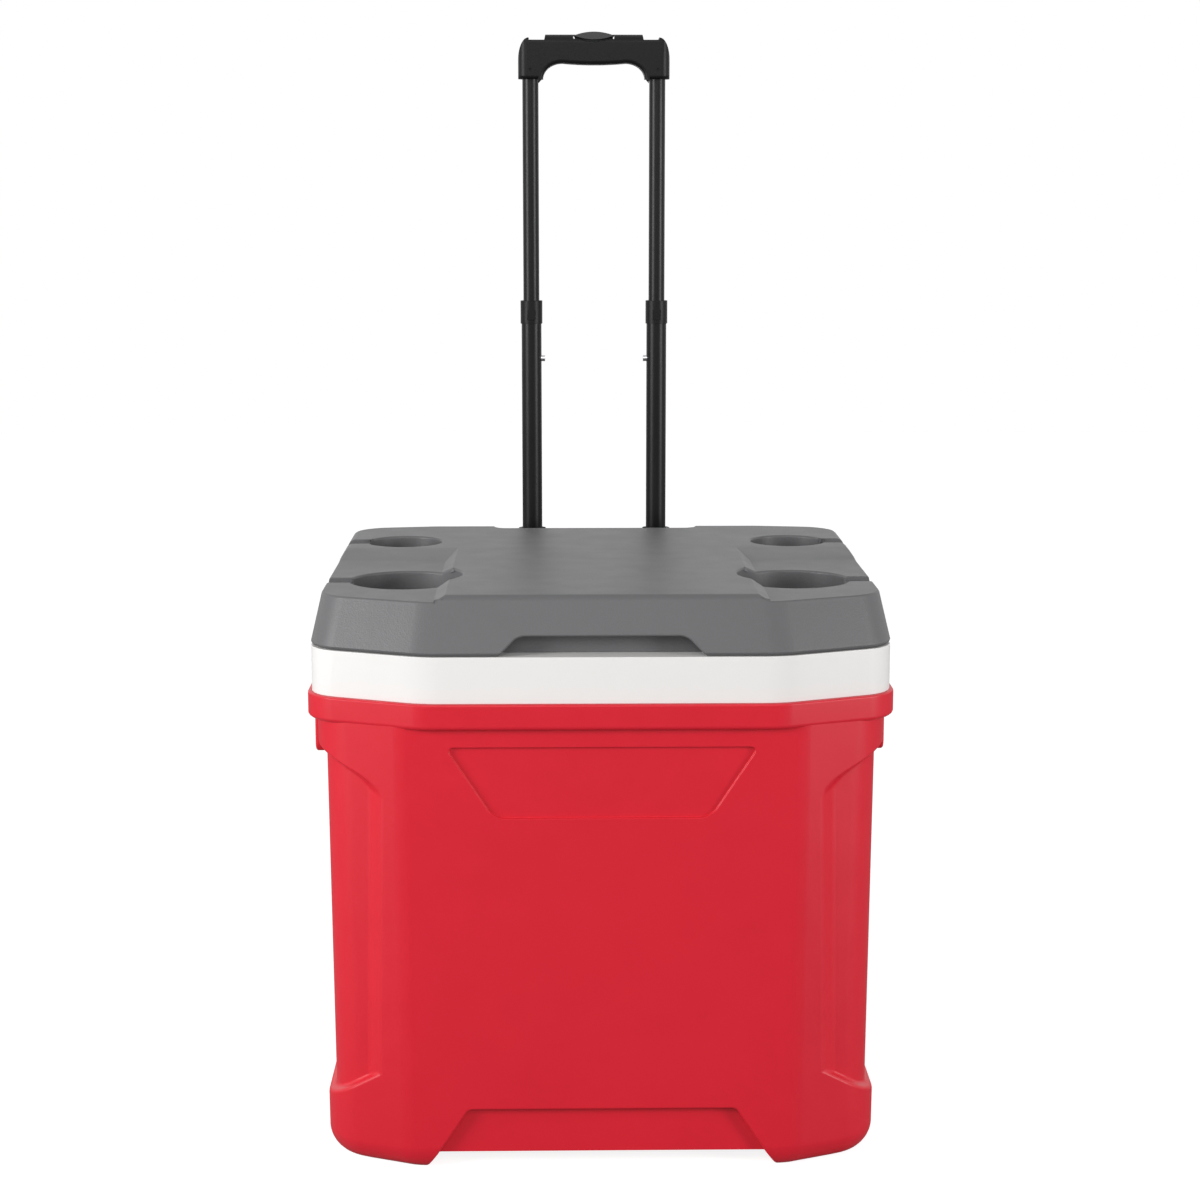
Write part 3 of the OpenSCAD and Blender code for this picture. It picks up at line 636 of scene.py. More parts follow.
def rounded_face(
    shape: bmesh.types.BMesh, corners: list[tuple[float, float, float]], segments: int
) -> bmesh.types.BMFace:
    """A flat face at height 0 with rounded corners.

    Args:
        shape: the bmesh it is added to.
        corners: x, y and radius of each corner, counter-clockwise.
        segments: steps of each rounding.

    Returns:
        The face.
    """
    verts = [shape.verts.new((x, y, 0.0)) for x, y, _ in corners]
    face = shape.faces.new(verts)
    reaches: dict[float, list[bmesh.types.BMVert]] = {}
    count = len(corners)
    for i, (x, y, radius) in enumerate(corners):
        here = Vector((x, y))
        before = Vector(corners[i - 1][:2]) - here
        after = Vector(corners[(i + 1) % count][:2]) - here
        longest = LONGEST_ROUND * min(before.length, after.length)
        reach = min(radius / math.tan(before.angle(after) / 2), longest)
        if reach > WELD:
            reaches.setdefault(round(reach, 3), []).append(verts[i])
    for reach, rounded in reaches.items():
        bmesh.ops.bevel(
            shape, geom=rounded, offset=reach, offset_type="OFFSET", segments=segments, profile=0.5,
            affect="VERTICES", material=-1
        )
    return max(shape.faces, key=lambda f: f.calc_area())


class Solid:
    """A closed form with a tag on each face."""

    def __init__(self, shape: bmesh.types.BMesh, tag: Tag) -> None:
        """Closes a bmesh into a solid.

        Args:
            shape: the form, which is freed.
            tag: what its faces are tagged as.
        """
        bmesh.ops.recalc_face_normals(shape, faces=shape.faces)
        for face in shape.faces:
            face.material_index = tag.value
        self.mesh = self._keep(shape)

    @staticmethod
    def _keep(shape: bmesh.types.BMesh) -> bpy.types.Mesh:
        """The bmesh as a mesh with a place for every tag."""
        mesh = bpy.data.meshes.new("carving")
        shape.to_mesh(mesh)
        shape.free()
        for _ in Tag:
            mesh.materials.append(None)
        return mesh

    @classmethod
    def loft(
        cls, plan: Plan, levels: list[tuple[float, float, float, float]], tag: Tag, segments: int = 8
    ) -> "Solid":
        """A drafted form.

        Args:
            plan: its outline.
            levels: height, then how far the sides, front and back have moved in, from the bottom up.
            tag: what its faces are tagged as.
            segments: steps of each rounded corner.

        Returns:
            The solid.
        """
        shape = bmesh.new()
        face = rounded_face(shape, plan.corners(), segments)
        place = plan.level(*levels[0])
        bmesh.ops.transform(shape, matrix=place, verts=shape.verts)
        for i, level in enumerate(levels[1:]):
            made = bmesh.ops.extrude_face_region(shape, geom=[face])["geom"]
            if i:
                bmesh.ops.delete(shape, geom=[face], context="FACES_ONLY")
            face = next(g for g in made if isinstance(g, bmesh.types.BMFace))
            after = plan.level(*level)
            bmesh.ops.transform(shape, matrix=after @ place.inverted(), verts=face.verts)
            place = after
        return cls(shape, tag)

    @classmethod
    def run(
        cls, corners: list[tuple[float, float, float]], start: float, end: float, axis: str, tag: Tag,
        segments: int = 6
    ) -> "Solid":
        """An outline run along an axis.

        Args:
            corners: the outline's corners and radii: X and Z for a run along Y, Y and Z along X,
                X and Y along Z.
            start: where the run starts.
            end: where it ends.
            axis: the axis.
            tag: what its faces are tagged as.
            segments: steps of each rounded corner.

        Returns:
            The solid.
        """
        turn = {
            "X": Matrix(((0, 0, 1, 0), (1, 0, 0, 0), (0, 1, 0, 0), (0, 0, 0, 1))),
            "Y": Matrix(((1, 0, 0, 0), (0, 0, 1, 0), (0, 1, 0, 0), (0, 0, 0, 1))),
            "Z": Matrix.Identity(4),
        }[axis]
        shape = bmesh.new()
        face = rounded_face(shape, corners, segments)
        bmesh.ops.translate(shape, vec=(0, 0, start), verts=shape.verts)
        made = bmesh.ops.extrude_face_region(shape, geom=[face])["geom"]
        risen = [g for g in made if isinstance(g, bmesh.types.BMVert)]
        bmesh.ops.translate(shape, vec=(0, 0, end - start), verts=risen)
        bmesh.ops.transform(shape, matrix=turn, verts=shape.verts)
        return cls(shape, tag)

    @classmethod
    def drum(
        cls, start: Point, length: float, radius: float, axis: str, tag: Tag, segments: int = 64
    ) -> "Solid":
        """A round bar.

        Args:
            start: the middle of its first end.
            length: its length along the axis.
            radius: its radius.
            axis: X, Y or Z.
            tag: what its faces are tagged as.
            segments: its sides.

        Returns:
            The solid.
        """
        turn = {
            "X": Matrix.Rotation(math.pi / 2, 4, "Y"),
            "Y": Matrix.Rotation(-math.pi / 2, 4, "X"),
            "Z": Matrix.Identity(4),
        }[axis]
        shape = bmesh.new()
        bmesh.ops.create_cone(
            shape, cap_ends=True, segments=segments, radius1=radius, radius2=radius, depth=length,
            matrix=Matrix.Translation(start) @ turn @ Matrix.Translation((0, 0, length / 2))
        )
        return cls(shape, tag)

    @classmethod
    def block(cls, low: Point, high: Point, tag: Tag) -> "Solid":
        """A block between two corners.

        Args:
            low: its lowest corner.
            high: its highest corner.
            tag: what its faces are tagged as.

        Returns:
            The solid.
        """
        middle = (Vector(low) + Vector(high)) / 2
        size = Vector(high) - Vector(low)
        shape = bmesh.new()
        bmesh.ops.create_cube(
            shape, size=1.0, matrix=Matrix.Translation(middle) @ Matrix.Diagonal((*size, 1.0))
        )
        return cls(shape, tag)

    def _changed(self, mesh: bpy.types.Mesh) -> "Solid":
        """Another solid with this mesh."""
        other = Solid.__new__(Solid)
        other.mesh = mesh
        return other

    def mirrored(self) -> "Solid":
        """The solid on the other side of the chest."""
        shape = bmesh.new()
        shape.from_mesh(self.mesh)
        bmesh.ops.scale(shape, vec=(-1, 1, 1), verts=shape.verts)
        bmesh.ops.reverse_faces(shape, faces=shape.faces)
        return self._changed(self._keep(shape))

    def _joined(self, other: "Solid", operation: str) -> "Solid":
        """Joins two solids.

        Args:
            other: the second solid.
            operation: DIFFERENCE, UNION or INTERSECT.

        Returns:
            The result.
        """
        scene = bpy.context.scene.collection.objects
        first = bpy.data.objects.new("first", self.mesh)
        second = bpy.data.objects.new("second", other.mesh)
        scene.link(first)
        scene.link(second)
        join = first.modifiers.new("join", "BOOLEAN")
        join.operation = operation
        join.solver = "EXACT"
        join.material_mode = "INDEX"
        join.object = second
        graph = bpy.context.evaluated_depsgraph_get()
        mesh = bpy.data.meshes.new_from_object(first.evaluated_get(graph))
        bpy.data.objects.remove(first)
        bpy.data.objects.remove(second)
        return self._changed(mesh)

    def __sub__(self, other: "Solid") -> "Solid":
        """This solid with another cut out of it."""
        return self._joined(other, "DIFFERENCE")

    def __add__(self, other: "Solid") -> "Solid":
        """This solid and another as one."""
        return self._joined(other, "UNION")

    def __and__(self, other: "Solid") -> "Solid":
        """What two solids share."""
        return self._joined(other, "INTERSECT")

    def _ordered(self) -> bmesh.types.BMesh:
        """The solid as a bmesh whose parts are in order of place, so that every run goes the same way."""
        shape = bmesh.new()
        shape.from_mesh(self.mesh)
        shape.verts.sort(key=lambda vert: vert.co.dot(ORDER))
        shape.edges.sort(key=lambda edge: sum(vert.co.dot(ORDER) for vert in edge.verts))
        shape.faces.sort(key=lambda face: face.calc_center_median().dot(ORDER))
        for parts in (shape.verts, shape.edges, shape.faces):
            parts.index_update()
        return shape

    def cleaned(self, weld: float = 0.05) -> "Solid":
        """The solid with its stray points and split flat faces tidied."""
        shape = self._ordered()
        bmesh.ops.remove_doubles(shape, verts=shape.verts, dist=weld)
        bmesh.ops.dissolve_degenerate(shape, edges=shape.edges, dist=weld)
        bmesh.ops.dissolve_limit(
            shape, angle_limit=FLAT, verts=shape.verts, edges=shape.edges, delimit={"MATERIAL"}
        )
        return self._changed(self._keep(shape))

    def rolled(
        self, first: set[Tag], second: set[Tag], radius: float, segments: int = 3, least: float = 18.0,
        above: float = -1.0, below: float = 2000.0
    ) -> "Solid":
        """The solid with the corners between two kinds of face rounded.

        Args:
            first: the tags on one side of a corner.
            second: the tags on the other side.
            radius: the rounding.
            segments: its steps.
            least: the least turn of a corner, in degrees.
            above: the height that a corner must rise over.
            below: the height that a corner must stay under.

        Returns:
            The rounded solid.
        """
        shape = bmesh.new()
        shape.from_mesh(self.mesh)
        ones = {t.value for t in first}
        others = {t.value for t in second}
        corners = []
        for edge in shape.edges:
            if len(edge.link_faces) != 2 or edge.calc_face_angle() < math.radians(least):
                continue
            heights = [v.co.z for v in edge.verts]
            if max(heights) <= above or max(heights) >= below:
                continue
            a, b = (f.material_index for f in edge.link_faces)
            if (a in ones and b in others) or (b in ones and a in others):
                corners.append(edge)
        bmesh.ops.bevel(
            shape, geom=corners, offset=radius, offset_type="OFFSET", segments=segments, profile=0.5,
            affect="EDGES", clamp_overlap=False, material=-1, loop_slide=True
        )
        return self._changed(self._keep(shape))

    def healed(self, least: float = 1.6, rounds: int = 8) -> "Solid":
        """The solid with the short sides of folded faces closed up.

        Args:
            least: sides shorter than this are closed.
            rounds: how often the faces are looked over.

        Returns:
            The solid.
        """
        shape = bmesh.new()
        shape.from_mesh(self.mesh)
        for _ in range(rounds):
            shape.normal_update()
            corners: dict[bmesh.types.BMFace, list[tuple[bmesh.types.BMLoop, ...]]] = {}
            for loops in shape.calc_loop_triangles():
                corners.setdefault(loops[0].face, []).append(loops)
            short: dict[bmesh.types.BMEdge, None] = {}
            for face, triangles in corners.items():
                for first, second, third in triangles:
                    a, b, c = (loop.vert.co for loop in (first, second, third))
                    if (b - a).cross(c - a).dot(face.normal) < -FOLD:
                        short[min(face.edges, key=lambda edge: edge.calc_length())] = None
                        break
            closed = [edge for edge in short if edge.calc_length() < least]
            if not closed:
                break
            bmesh.ops.collapse(shape, edges=closed, uvs=False)
            bmesh.ops.dissolve_degenerate(shape, edges=shape.edges, dist=WELD)
        return self._changed(self._keep(shape))

    def piece(self, name: str) -> bpy.types.Object:
        """The solid as a piece in the frame.

        Args:
            name: the piece's name.

        Returns:
            The object.
        """
        shape = bmesh.new()
        shape.from_mesh(self.mesh)
        for face in shape.faces:
            face.material_index = 0
        bmesh.ops.remove_doubles(shape, verts=shape.verts, dist=WELD)
        bmesh.ops.transform(
            shape, matrix=Matrix.Scale(MM, 4) @ Matrix.Translation((0, -FRAME_SHIFT, 0)), verts=shape.verts
        )
        return as_piece(name, shape)


# Sub-assemblies


RIM_PLAN = Plan(250, 223.5, 221, 151.5, 0.42, 170, 0.17, 36, 40, 35)
BODY_PLAN = Plan(242, 215.5, 213, 169, 0.43, 170, 0.17, 32, 46, 35)
BAND_PLAN = replace(RIM_PLAN, flat=150, front_r=64).inset(3.5)
FAR = 600.0


def roll_steps(count: int) -> list[tuple[float, float]]:
    """Steps of a quarter turn.

    Args:
        count: how many.

    Returns:
        Rise and run from 0 to 1, straight up at first and level at the end.
    """
    turns = [math.pi / 2 * i / count for i in range(count + 1)]
    return [(math.sin(t), 1 - math.cos(t)) for t in turns]


@dataclass
class ChestBody:
    """The red outer shell, the white tub in it and the foam between."""

    rim_foot: float = 388.0
    rim_top: float = 410.0
    side_draft: float = 3.5
    front_draft: float = 4.0
    base_round: float = 20.0
    base_in: tuple[float, float] = (12.0, 10.0)
    base_power: float = 1.7
    recess_depth: float = 7.0
    recess_edge: float = 180.0
    recess_low: float = 90.0
    recess_high: float = 333.0
    recess_slopes: tuple[float, float] = (0.63, 0.50)
    recess_end: float = 132.0
    plaque: tuple[float, float, float, float] = (91.0, 131.0, 311.0, 372.0)
    plaque_depth: float = 3.0
    base_recess: tuple[float, float, float] = (151.0, 114.5, 53.5)
    ground_gap: float = 13.5
    skin: float = 3.0
    rim_rolls: tuple[float, float] = (4.0, 1.6)
    recess_reach: float = 310.0
    recess_start: float = -243.5
    recess_run_in: float = 48.0
    recess_turns: tuple[float, float] = (30.0, 85.0)
    recess_chamfer: float = 22.0
    recess_corner: float = 10.0
    recess_roll: float = 2.6
    plaque_r: tuple[float, float] = (18.0, 4.0)
    plaque_roll: float = 0.8
    front_fall: float = 0.7
    clear: float = 18.0
    base_r: float = 6.0
    base_roll: float = 2.0
    under_roll: float = 0.6
    under_from: tuple[float, float] = (-70.0, -90.0)
    under_slant: float = 10.0
    well_roll: float = 1.0
    wall: float = 2.2
    lip_r: float = 9.0
    lip_roll: float = 2.4
    grip_seat: float = 239.5
    grip_lip: tuple[float, float, float] = (110.0, 44.0, 9.8)
    pocket_low: float = 335.0
    finger_room: float = 19.0
    axle: tuple[float, float] = (190.0, 63.5)
    well_r: float = 70.5
    well_in: float = 198.5
    drain: tuple[float, float] = (-40.0, 78.0)
    drain_seat: float = 230.7
    drain_r: tuple[float, float] = (17.2, 11.0)
    axle_r: float = 5.2
    tub_soft: Softening = Softening(0.8 * MM)

    def outer(self) -> Solid:
        """The drafted outer form on its rolled base."""
        levels = []
        for i in range(9):
            z = self.base_round * i / 8
            left = (1 - z / self.base_round) ** self.base_power
            k = 1 - (1 - left) ** (1 / self.base_power)
            side = self.side_draft + self.base_in[0] * k
            front = self.front_draft + self.base_in[1] * k
            levels.append((z, side, front, front))
        roll = self.rim_rolls[0]
        for z in (self.base_round + 3, self.rim_foot - roll, self.rim_foot + roll):
            left = (self.rim_foot + roll - z) / (self.rim_foot + roll - self.base_round)
            levels.append((z, self.side_draft * left, self.front_draft * left, self.front_draft * left))
        return Solid.loft(BODY_PLAN, levels, Tag.SKIN, 10)

    def rim(self) -> Solid:
        """The rim with its rolled edges."""
        under, over = self.rim_rolls
        low = [(self.rim_foot + under * (1 - rise), under * run) for rise, run in roll_steps(5)[::-1]]
        high = [(self.rim_top - over + over * rise, over * run) for rise, run in roll_steps(4)]
        return Solid.loft(RIM_PLAN, [(z, c, c, c) for z, c in low + high], Tag.RIM)

    def side_recess(self) -> Solid:
        """The recess that wraps round the right side onto the front facet."""
        edge, reach, start, end = self.recess_edge, self.recess_reach, self.recess_start, self.recess_end
        across = reach - edge
        fall, rise = self.recess_slopes
        wedge = Solid.run([
            (edge, self.recess_low, 0), (reach, self.recess_low - across * fall, 0),
            (reach, self.recess_high + across * rise, 0), (edge, self.recess_high, 0),
        ], start, end + 20, "Y", Tag.RECESS)
        inner = edge + self.recess_run_in
        first, second = self.recess_turns
        walls = Solid.run([
            (edge, start, 0), (reach, start, 0), (reach, end, 0),
            (inner + self.recess_chamfer, end, 0), (inner, end - self.recess_chamfer, 0),
            (inner, start + second, 0), (edge, start + first, 0),
        ], -1, self.rim_foot - 1, "Z", Tag.RECESS)
        core = Solid.loft(BODY_PLAN.inset(self.recess_depth), [
            (-1, self.side_draft, self.front_draft, self.front_draft), (self.rim_foot + 5, 0, 0, 0)
        ], Tag.RECESS_FLOOR)
        form = wedge & walls
        return form.rolled({Tag.RECESS}, {Tag.RECESS}, self.recess_corner, 3, 60, self.rim_foot / 2) - core

    def lip(self) -> Solid:
        """The lip of the right side grip."""
        half, height, thick = self.grip_lip
        foot, top = self.rim_foot - height, self.rim_foot + 2
        plain = Solid.run(
            [(-half, foot, self.lip_r), (half, foot, self.lip_r), (half, top, 0), (-half, top, 0)],
            self.grip_seat, self.grip_seat + thick, "X", Tag.LIP
        )
        return plain.rolled({Tag.LIP}, {Tag.LIP}, self.lip_roll, 4, 60)

    def pocket(self, grown: float) -> Solid:
        """The finger pocket behind the right lip, grown all round."""
        half = self.grip_lip[0] - 12 + grown
        return Solid.block(
            (self.grip_seat - self.finger_room - grown, -half, self.pocket_low - grown),
            (self.grip_seat + grown, half, self.rim_foot - 5 + grown), Tag.POCKET
        )

    def well(self, grown: float) -> Solid:
        """The right wheel well, grown all round."""
        return Solid.drum(
            (self.well_in - grown, *self.axle), 280 - self.well_in, self.well_r + grown, "X", Tag.WELL, 96
        )

    def hollow(self) -> Solid:
        """The space inside the shell."""
        plan = BODY_PLAN.inset(self.recess_depth + self.skin)
        space = Solid.loft(plan, [
            (self.ground_gap + self.skin, self.side_draft, self.front_draft, self.front_draft),
            (self.rim_top + 1, 0, 0, 0)
        ], Tag.HOLLOW)
        for kept in (self.well(self.wall), self.pocket(self.wall)):
            space = space - kept - kept.mirrored()
        return space

    def shell(self) -> bpy.types.Object:
        """Carves the shell."""
        recess, lip = self.side_recess(), self.lip()
        form = self.outer() - recess - recess.mirrored() + self.rim() + lip + lip.mirrored() - self.hollow()
        for cut in (self.pocket(0), self.well(0)):
            form = form - cut - cut.mirrored()
        low, high, foot, top = self.plaque
        low_r, high_r = self.plaque_r
        front = -BODY_PLAN.front
        form -= Solid.run(
            [(-low, foot, low_r), (low, foot, low_r), (high, top, high_r), (-high, top, high_r)],
            front - self.clear, front + self.front_fall + self.plaque_depth, "Y", Tag.PLAQUE
        )
        low, high, top = self.base_recess
        round_r = self.base_r
        form -= Solid.run(
            [(-low, -2, round_r), (low, -2, round_r), (high, top, round_r), (-high, top, round_r)],
            front - self.clear, front + self.front_draft + self.recess_depth, "Y", Tag.BASE
        )
        gap, slant = self.ground_gap, self.under_slant
        across = [(-low, -1, 0), (low, -1, 0), (low - slant, gap, 0), (slant - low, gap, 0)]
        along = [(self.under_from[0], -1, 0), (FAR, -1, 0), (FAR, gap, 0), (self.under_from[1], gap, 0)]
        form -= Solid.run(across, -FAR, FAR, "Y", Tag.UNDER)
        form -= Solid.run(along, -FAR, FAR, "X", Tag.UNDER)
        seat_r, hole_r = self.drain_r
        form -= Solid.drum((self.drain_seat, *self.drain), 60, seat_r, "X", Tag.DRAIN)
        form -= Solid.drum((100, *self.drain), 160, hole_r, "X", Tag.DRAIN)
        form -= Solid.drum((-FAR / 2, *self.axle), FAR, self.axle_r, "X", Tag.WELL, 32)
        form = form.cleaned()
        skin = {Tag.SKIN, Tag.RIM}
        recess = {Tag.RECESS, Tag.RECESS_FLOOR}
        form = form.rolled(skin | recess, {Tag.RECESS}, self.recess_roll, 4)
        form = form.rolled({Tag.SKIN, Tag.PLAQUE}, {Tag.PLAQUE}, self.plaque_roll, 3, 40)
        form = form.rolled({Tag.SKIN, Tag.BASE}, {Tag.BASE}, self.base_roll, 3, 25)
        form = form.rolled(skin | recess, {Tag.UNDER}, self.under_roll, 2)
        form = form.rolled(skin | recess, {Tag.WELL}, self.well_roll, 3, 60)
        return form.healed().piece("body_shell_moulding")

    def build(self, shop: Workshop) -> None:
        """Builds and dresses the sub-assembly."""
        shop.mount(self.shell(), Body.CHEST, RED, "body_shell")
        shop.soften("liner", Body.CHEST, WHITE, self.tub_soft)
        shop.dress("foam_core", FOAM)
        for side in ("left", "right"):
            shop.dress(f"hinge_pin_{side}", STEEL)


@dataclass
class HingedLid:
    """The grey lid with its cups, the white pan under it and the foam between."""

    foot: float = 449.9
    top: float = 499.1
    crown: tuple[float, float] = (8.0, 7.0)
    lean: tuple[float, float, float] = (8.5, 13.0, 3.0)
    skin: float = 3.0
    panel_half: float = 130.0
    shelf_drop: float = 5.7
    shelf_back: float = 64.0
    shelf_ramp: float = 46.0
    step_run: float = 10.0
    cups: tuple[tuple[float, float, float], ...] = ((169.0, -89.0, 49.0), (182.0, 105.0, 35.0))
    cup_floor: float = 469.4
    groove: tuple[float, float] = (13.0, 4.0)
    notch: tuple[float, float] = (99.0, 22.0)
    pull: tuple[float, float, float] = (86.0, 16.0, 22.0)
    hinge: tuple[float, float] = (217.5, 452.9)
    hinge_from: float = 120.0
    hinge_w: float = 60.0
    knuckle_r: float = 6.5
    knuckle_gap: float = 0.5
    knuckles: int = 5
    pin_r: float = 2.56
    foot_roll: tuple[float, float] = (3.0, 2.5)
    first_lean: tuple[float, float, float] = (0.2, 0.3, 0.1)
    shelf_roll: float = 1.6
    cup_rolls: tuple[float, float] = (2.2, 2.5)
    groove_roll: float = 0.8
    notch_r: float = 12.0
    notch_roll: float = 1.5
    pull_r: float = 14.0
    pull_rolls: tuple[float, float] = (2.2, 1.5)
    pan_soft: Softening = Softening(0.4 * MM)

    def form(self) -> Solid:
        """The lid before its panel, shelves and wells are cut."""
        height, run_in = self.foot_roll
        levels = []
        for rise in (0.0, 0.25, 0.55, 1.0):
            left = run_in * (1 - rise)
            levels.append((self.foot + height * rise, *(left * left / run_in,) * 3))
        levels.append((self.foot + height + 1, *self.first_lean))
        shoulder = self.top - self.crown[0]
        for rise, run in roll_steps(4):
            inward = self.crown[1] * run
            levels.append((shoulder + self.crown[0] * rise, *(lean + inward for lean in self.lean)))
        return Solid.loft(BAND_PLAN, levels, Tag.SKIN, 10)

    def shelf(self) -> Solid:
        """The space over the right shelf, up to the slanted step of the panel."""
        drop = 4 * self.shelf_drop
        over, shelf = self.top + 50, self.top - self.shelf_drop
        slope = Solid.run([
            (-FAR, shelf, 0), (self.shelf_back - self.shelf_ramp, shelf, 0), (self.shelf_back, self.top, 0),
            (self.shelf_back, over, 0), (-FAR, over, 0),
        ], 0, FAR, "X", Tag.SHELF)
        step = Solid.run([
            (self.panel_half, self.top, 0), (self.panel_half + 4 * self.step_run, self.top - drop, 0),
            (FAR, self.top - drop, 0), (FAR, over, 0), (self.panel_half, over, 0),
        ], -FAR, FAR, "Y", Tag.SHELF)
        return slope & step

    def wells(self, grown: float, over: float) -> list[Solid]:
        """The right cups and their grooves to the side.

        Args:
            grown: how far they are grown, for the skin round them.
            over: their top.

        Returns:
            The solids.
        """
        made = []
        half, depth = self.groove
        for x, y, radius in self.cups:
            low = self.cup_floor - grown
            made.append(Solid.drum((x, y, low), over - low, radius + grown, "Z", Tag.CUP, 96))
            low = self.top - self.shelf_drop - depth - grown
            made.append(Solid.block((x, y - half - grown, low), (FAR, y + half + grown, over), Tag.GROOVE))
        return made

    def back_notch(self, grown: float) -> Solid:
        """The notch in the back edge, grown all round."""
        half = self.notch[0] + grown
        start = self.hinge[0] - self.notch[1] - grown
        return Solid.run(
            [
                (-half, start, self.notch_r), (half, start, self.notch_r),
                (half + 4, FAR, 0), (-half - 4, FAR, 0)
            ],
            self.foot - 20, self.top + 20, "Z", Tag.NOTCH
        )

    def finger_pull(self, grown: float) -> Solid:
        """The finger recess in the front, grown all round."""
        half, height, depth = self.pull[0] + grown, self.pull[1], self.pull[2] + grown
        foot, roof = self.foot, self.foot + height + grown
        corners = [
            (-half, foot - 20, 0), (half, foot - 20, 0), (half, foot, 0),
            (half - height, roof, self.pull_r), (height - half, roof, self.pull_r), (-half, foot, 0),
        ]
        return Solid.run(corners, -FAR, -BAND_PLAN.front + depth, "Y", Tag.PULL)

    def hollow(self) -> Solid:
        """The space inside the lid's skin."""
        roof = self.top - self.shelf_drop - self.skin
        height, run_in = self.foot_roll
        space = Solid.loft(BAND_PLAN.inset(self.skin), [
            (self.foot - 1, run_in, run_in, run_in), (self.foot + height, 0, 0, 0), (roof, *self.lean)
        ], Tag.HOLLOW)
        y, z = self.hinge
        reach = self.knuckle_r + 5
        backing = Solid.block(
            (self.hinge_from - 7, y - reach, z - reach),
            (self.hinge_from + self.hinge_w + 7, y, z + reach), Tag.HOLLOW
        )
        for kept in [*self.wells(self.skin, self.top), backing]:
            space = space - kept - kept.mirrored()
        return space - self.back_notch(self.skin) - self.finger_pull(self.skin)

    def knuckle(self, number: int) -> Solid:
        """One of the right hinge's knuckles with its neck."""
        y, z = self.hinge
        length = (self.hinge_w - (self.knuckles - 1) * self.knuckle_gap) / self.knuckles
        start = self.hinge_from + number * (length + self.knuckle_gap)
        barrel = Solid.drum((start, y, z), length, self.knuckle_r, "X", Tag.HINGE, 40)
        neck = Solid.block(
            (start, y - self.knuckle_r - 4, z - 1), (start + length, y, z + self.knuckle_r), Tag.HINGE
        )
        return barrel + neck - Solid.drum((start - 1, y, z), length + 2, self.pin_r, "X", Tag.HINGE, 40)

    def shell(self) -> bpy.types.Object:
        """Carves the lid."""
        y, z = self.hinge
        room = Solid.drum(
            (self.hinge_from - self.knuckle_gap, y, z), self.hinge_w + 2 * self.knuckle_gap,
            self.knuckle_r + self.knuckle_gap, "X", Tag.HINGE, 40
        )
        form = self.form() - self.hollow()
        for cut in [self.shelf(), *self.wells(0, self.top + 1), room]:
            form = form - cut - cut.mirrored()
        form = form - self.back_notch(0) - self.finger_pull(0)
        for number in range(1, self.knuckles, 2):
            knuckle = self.knuckle(number)
            form = form + knuckle + knuckle.mirrored()
        form = form.cleaned()
        skin, shelf, cup = {Tag.SKIN}, {Tag.SHELF}, {Tag.CUP}
        lip, floor = self.cup_rolls
        edge, inside = self.pull_rolls
        above = self.foot + 0.5
        form = form.rolled(skin, shelf, self.shelf_roll, 4, 40)
        form = form.rolled(skin | shelf | {Tag.GROOVE}, cup, lip, 4)
        form = form.rolled(cup, cup, floor, 4, 60)
        form = form.rolled(skin | shelf, {Tag.GROOVE}, self.groove_roll)
        form = form.rolled(skin | {Tag.NOTCH}, {Tag.NOTCH}, self.notch_roll, 3, 30, above)
        form = form.rolled(skin, {Tag.PULL}, edge, 4, 18, above)
        form = form.rolled({Tag.PULL}, {Tag.PULL}, inside, 3, 30, above)
        return form.healed().piece("lid_shell_moulding")

    def build(self, shop: Workshop) -> None:
        """Builds and dresses the sub-assembly."""
        shop.mount(self.shell(), Body.LID, GREY, "lid_shell")
        shop.soften("lid_pan", Body.LID, WHITE, self.pan_soft)
        shop.dress("lid_foam", FOAM)


@dataclass
class RollingGear:
    """The axle, its caps, and a wheel and tyre on each end."""

    wheel_soft: Softening = Softening(0.7 * MM)
    tyre_soft: Softening = Softening(1.0 * MM)

    def build(self, shop: Workshop) -> None:
        """Builds and dresses the sub-assembly."""
        shop.dress("axle", STEEL)
        for side, body in (("left", Body.WHEEL_LEFT), ("right", Body.WHEEL_RIGHT)):
            shop.soften(f"wheel_{side}", body, DARK_GREY, self.wheel_soft)
            shop.soften(f"tyre_{side}", body, TYRE, self.tyre_soft)
            shop.dress(f"axle_cap_{side}", STEEL)


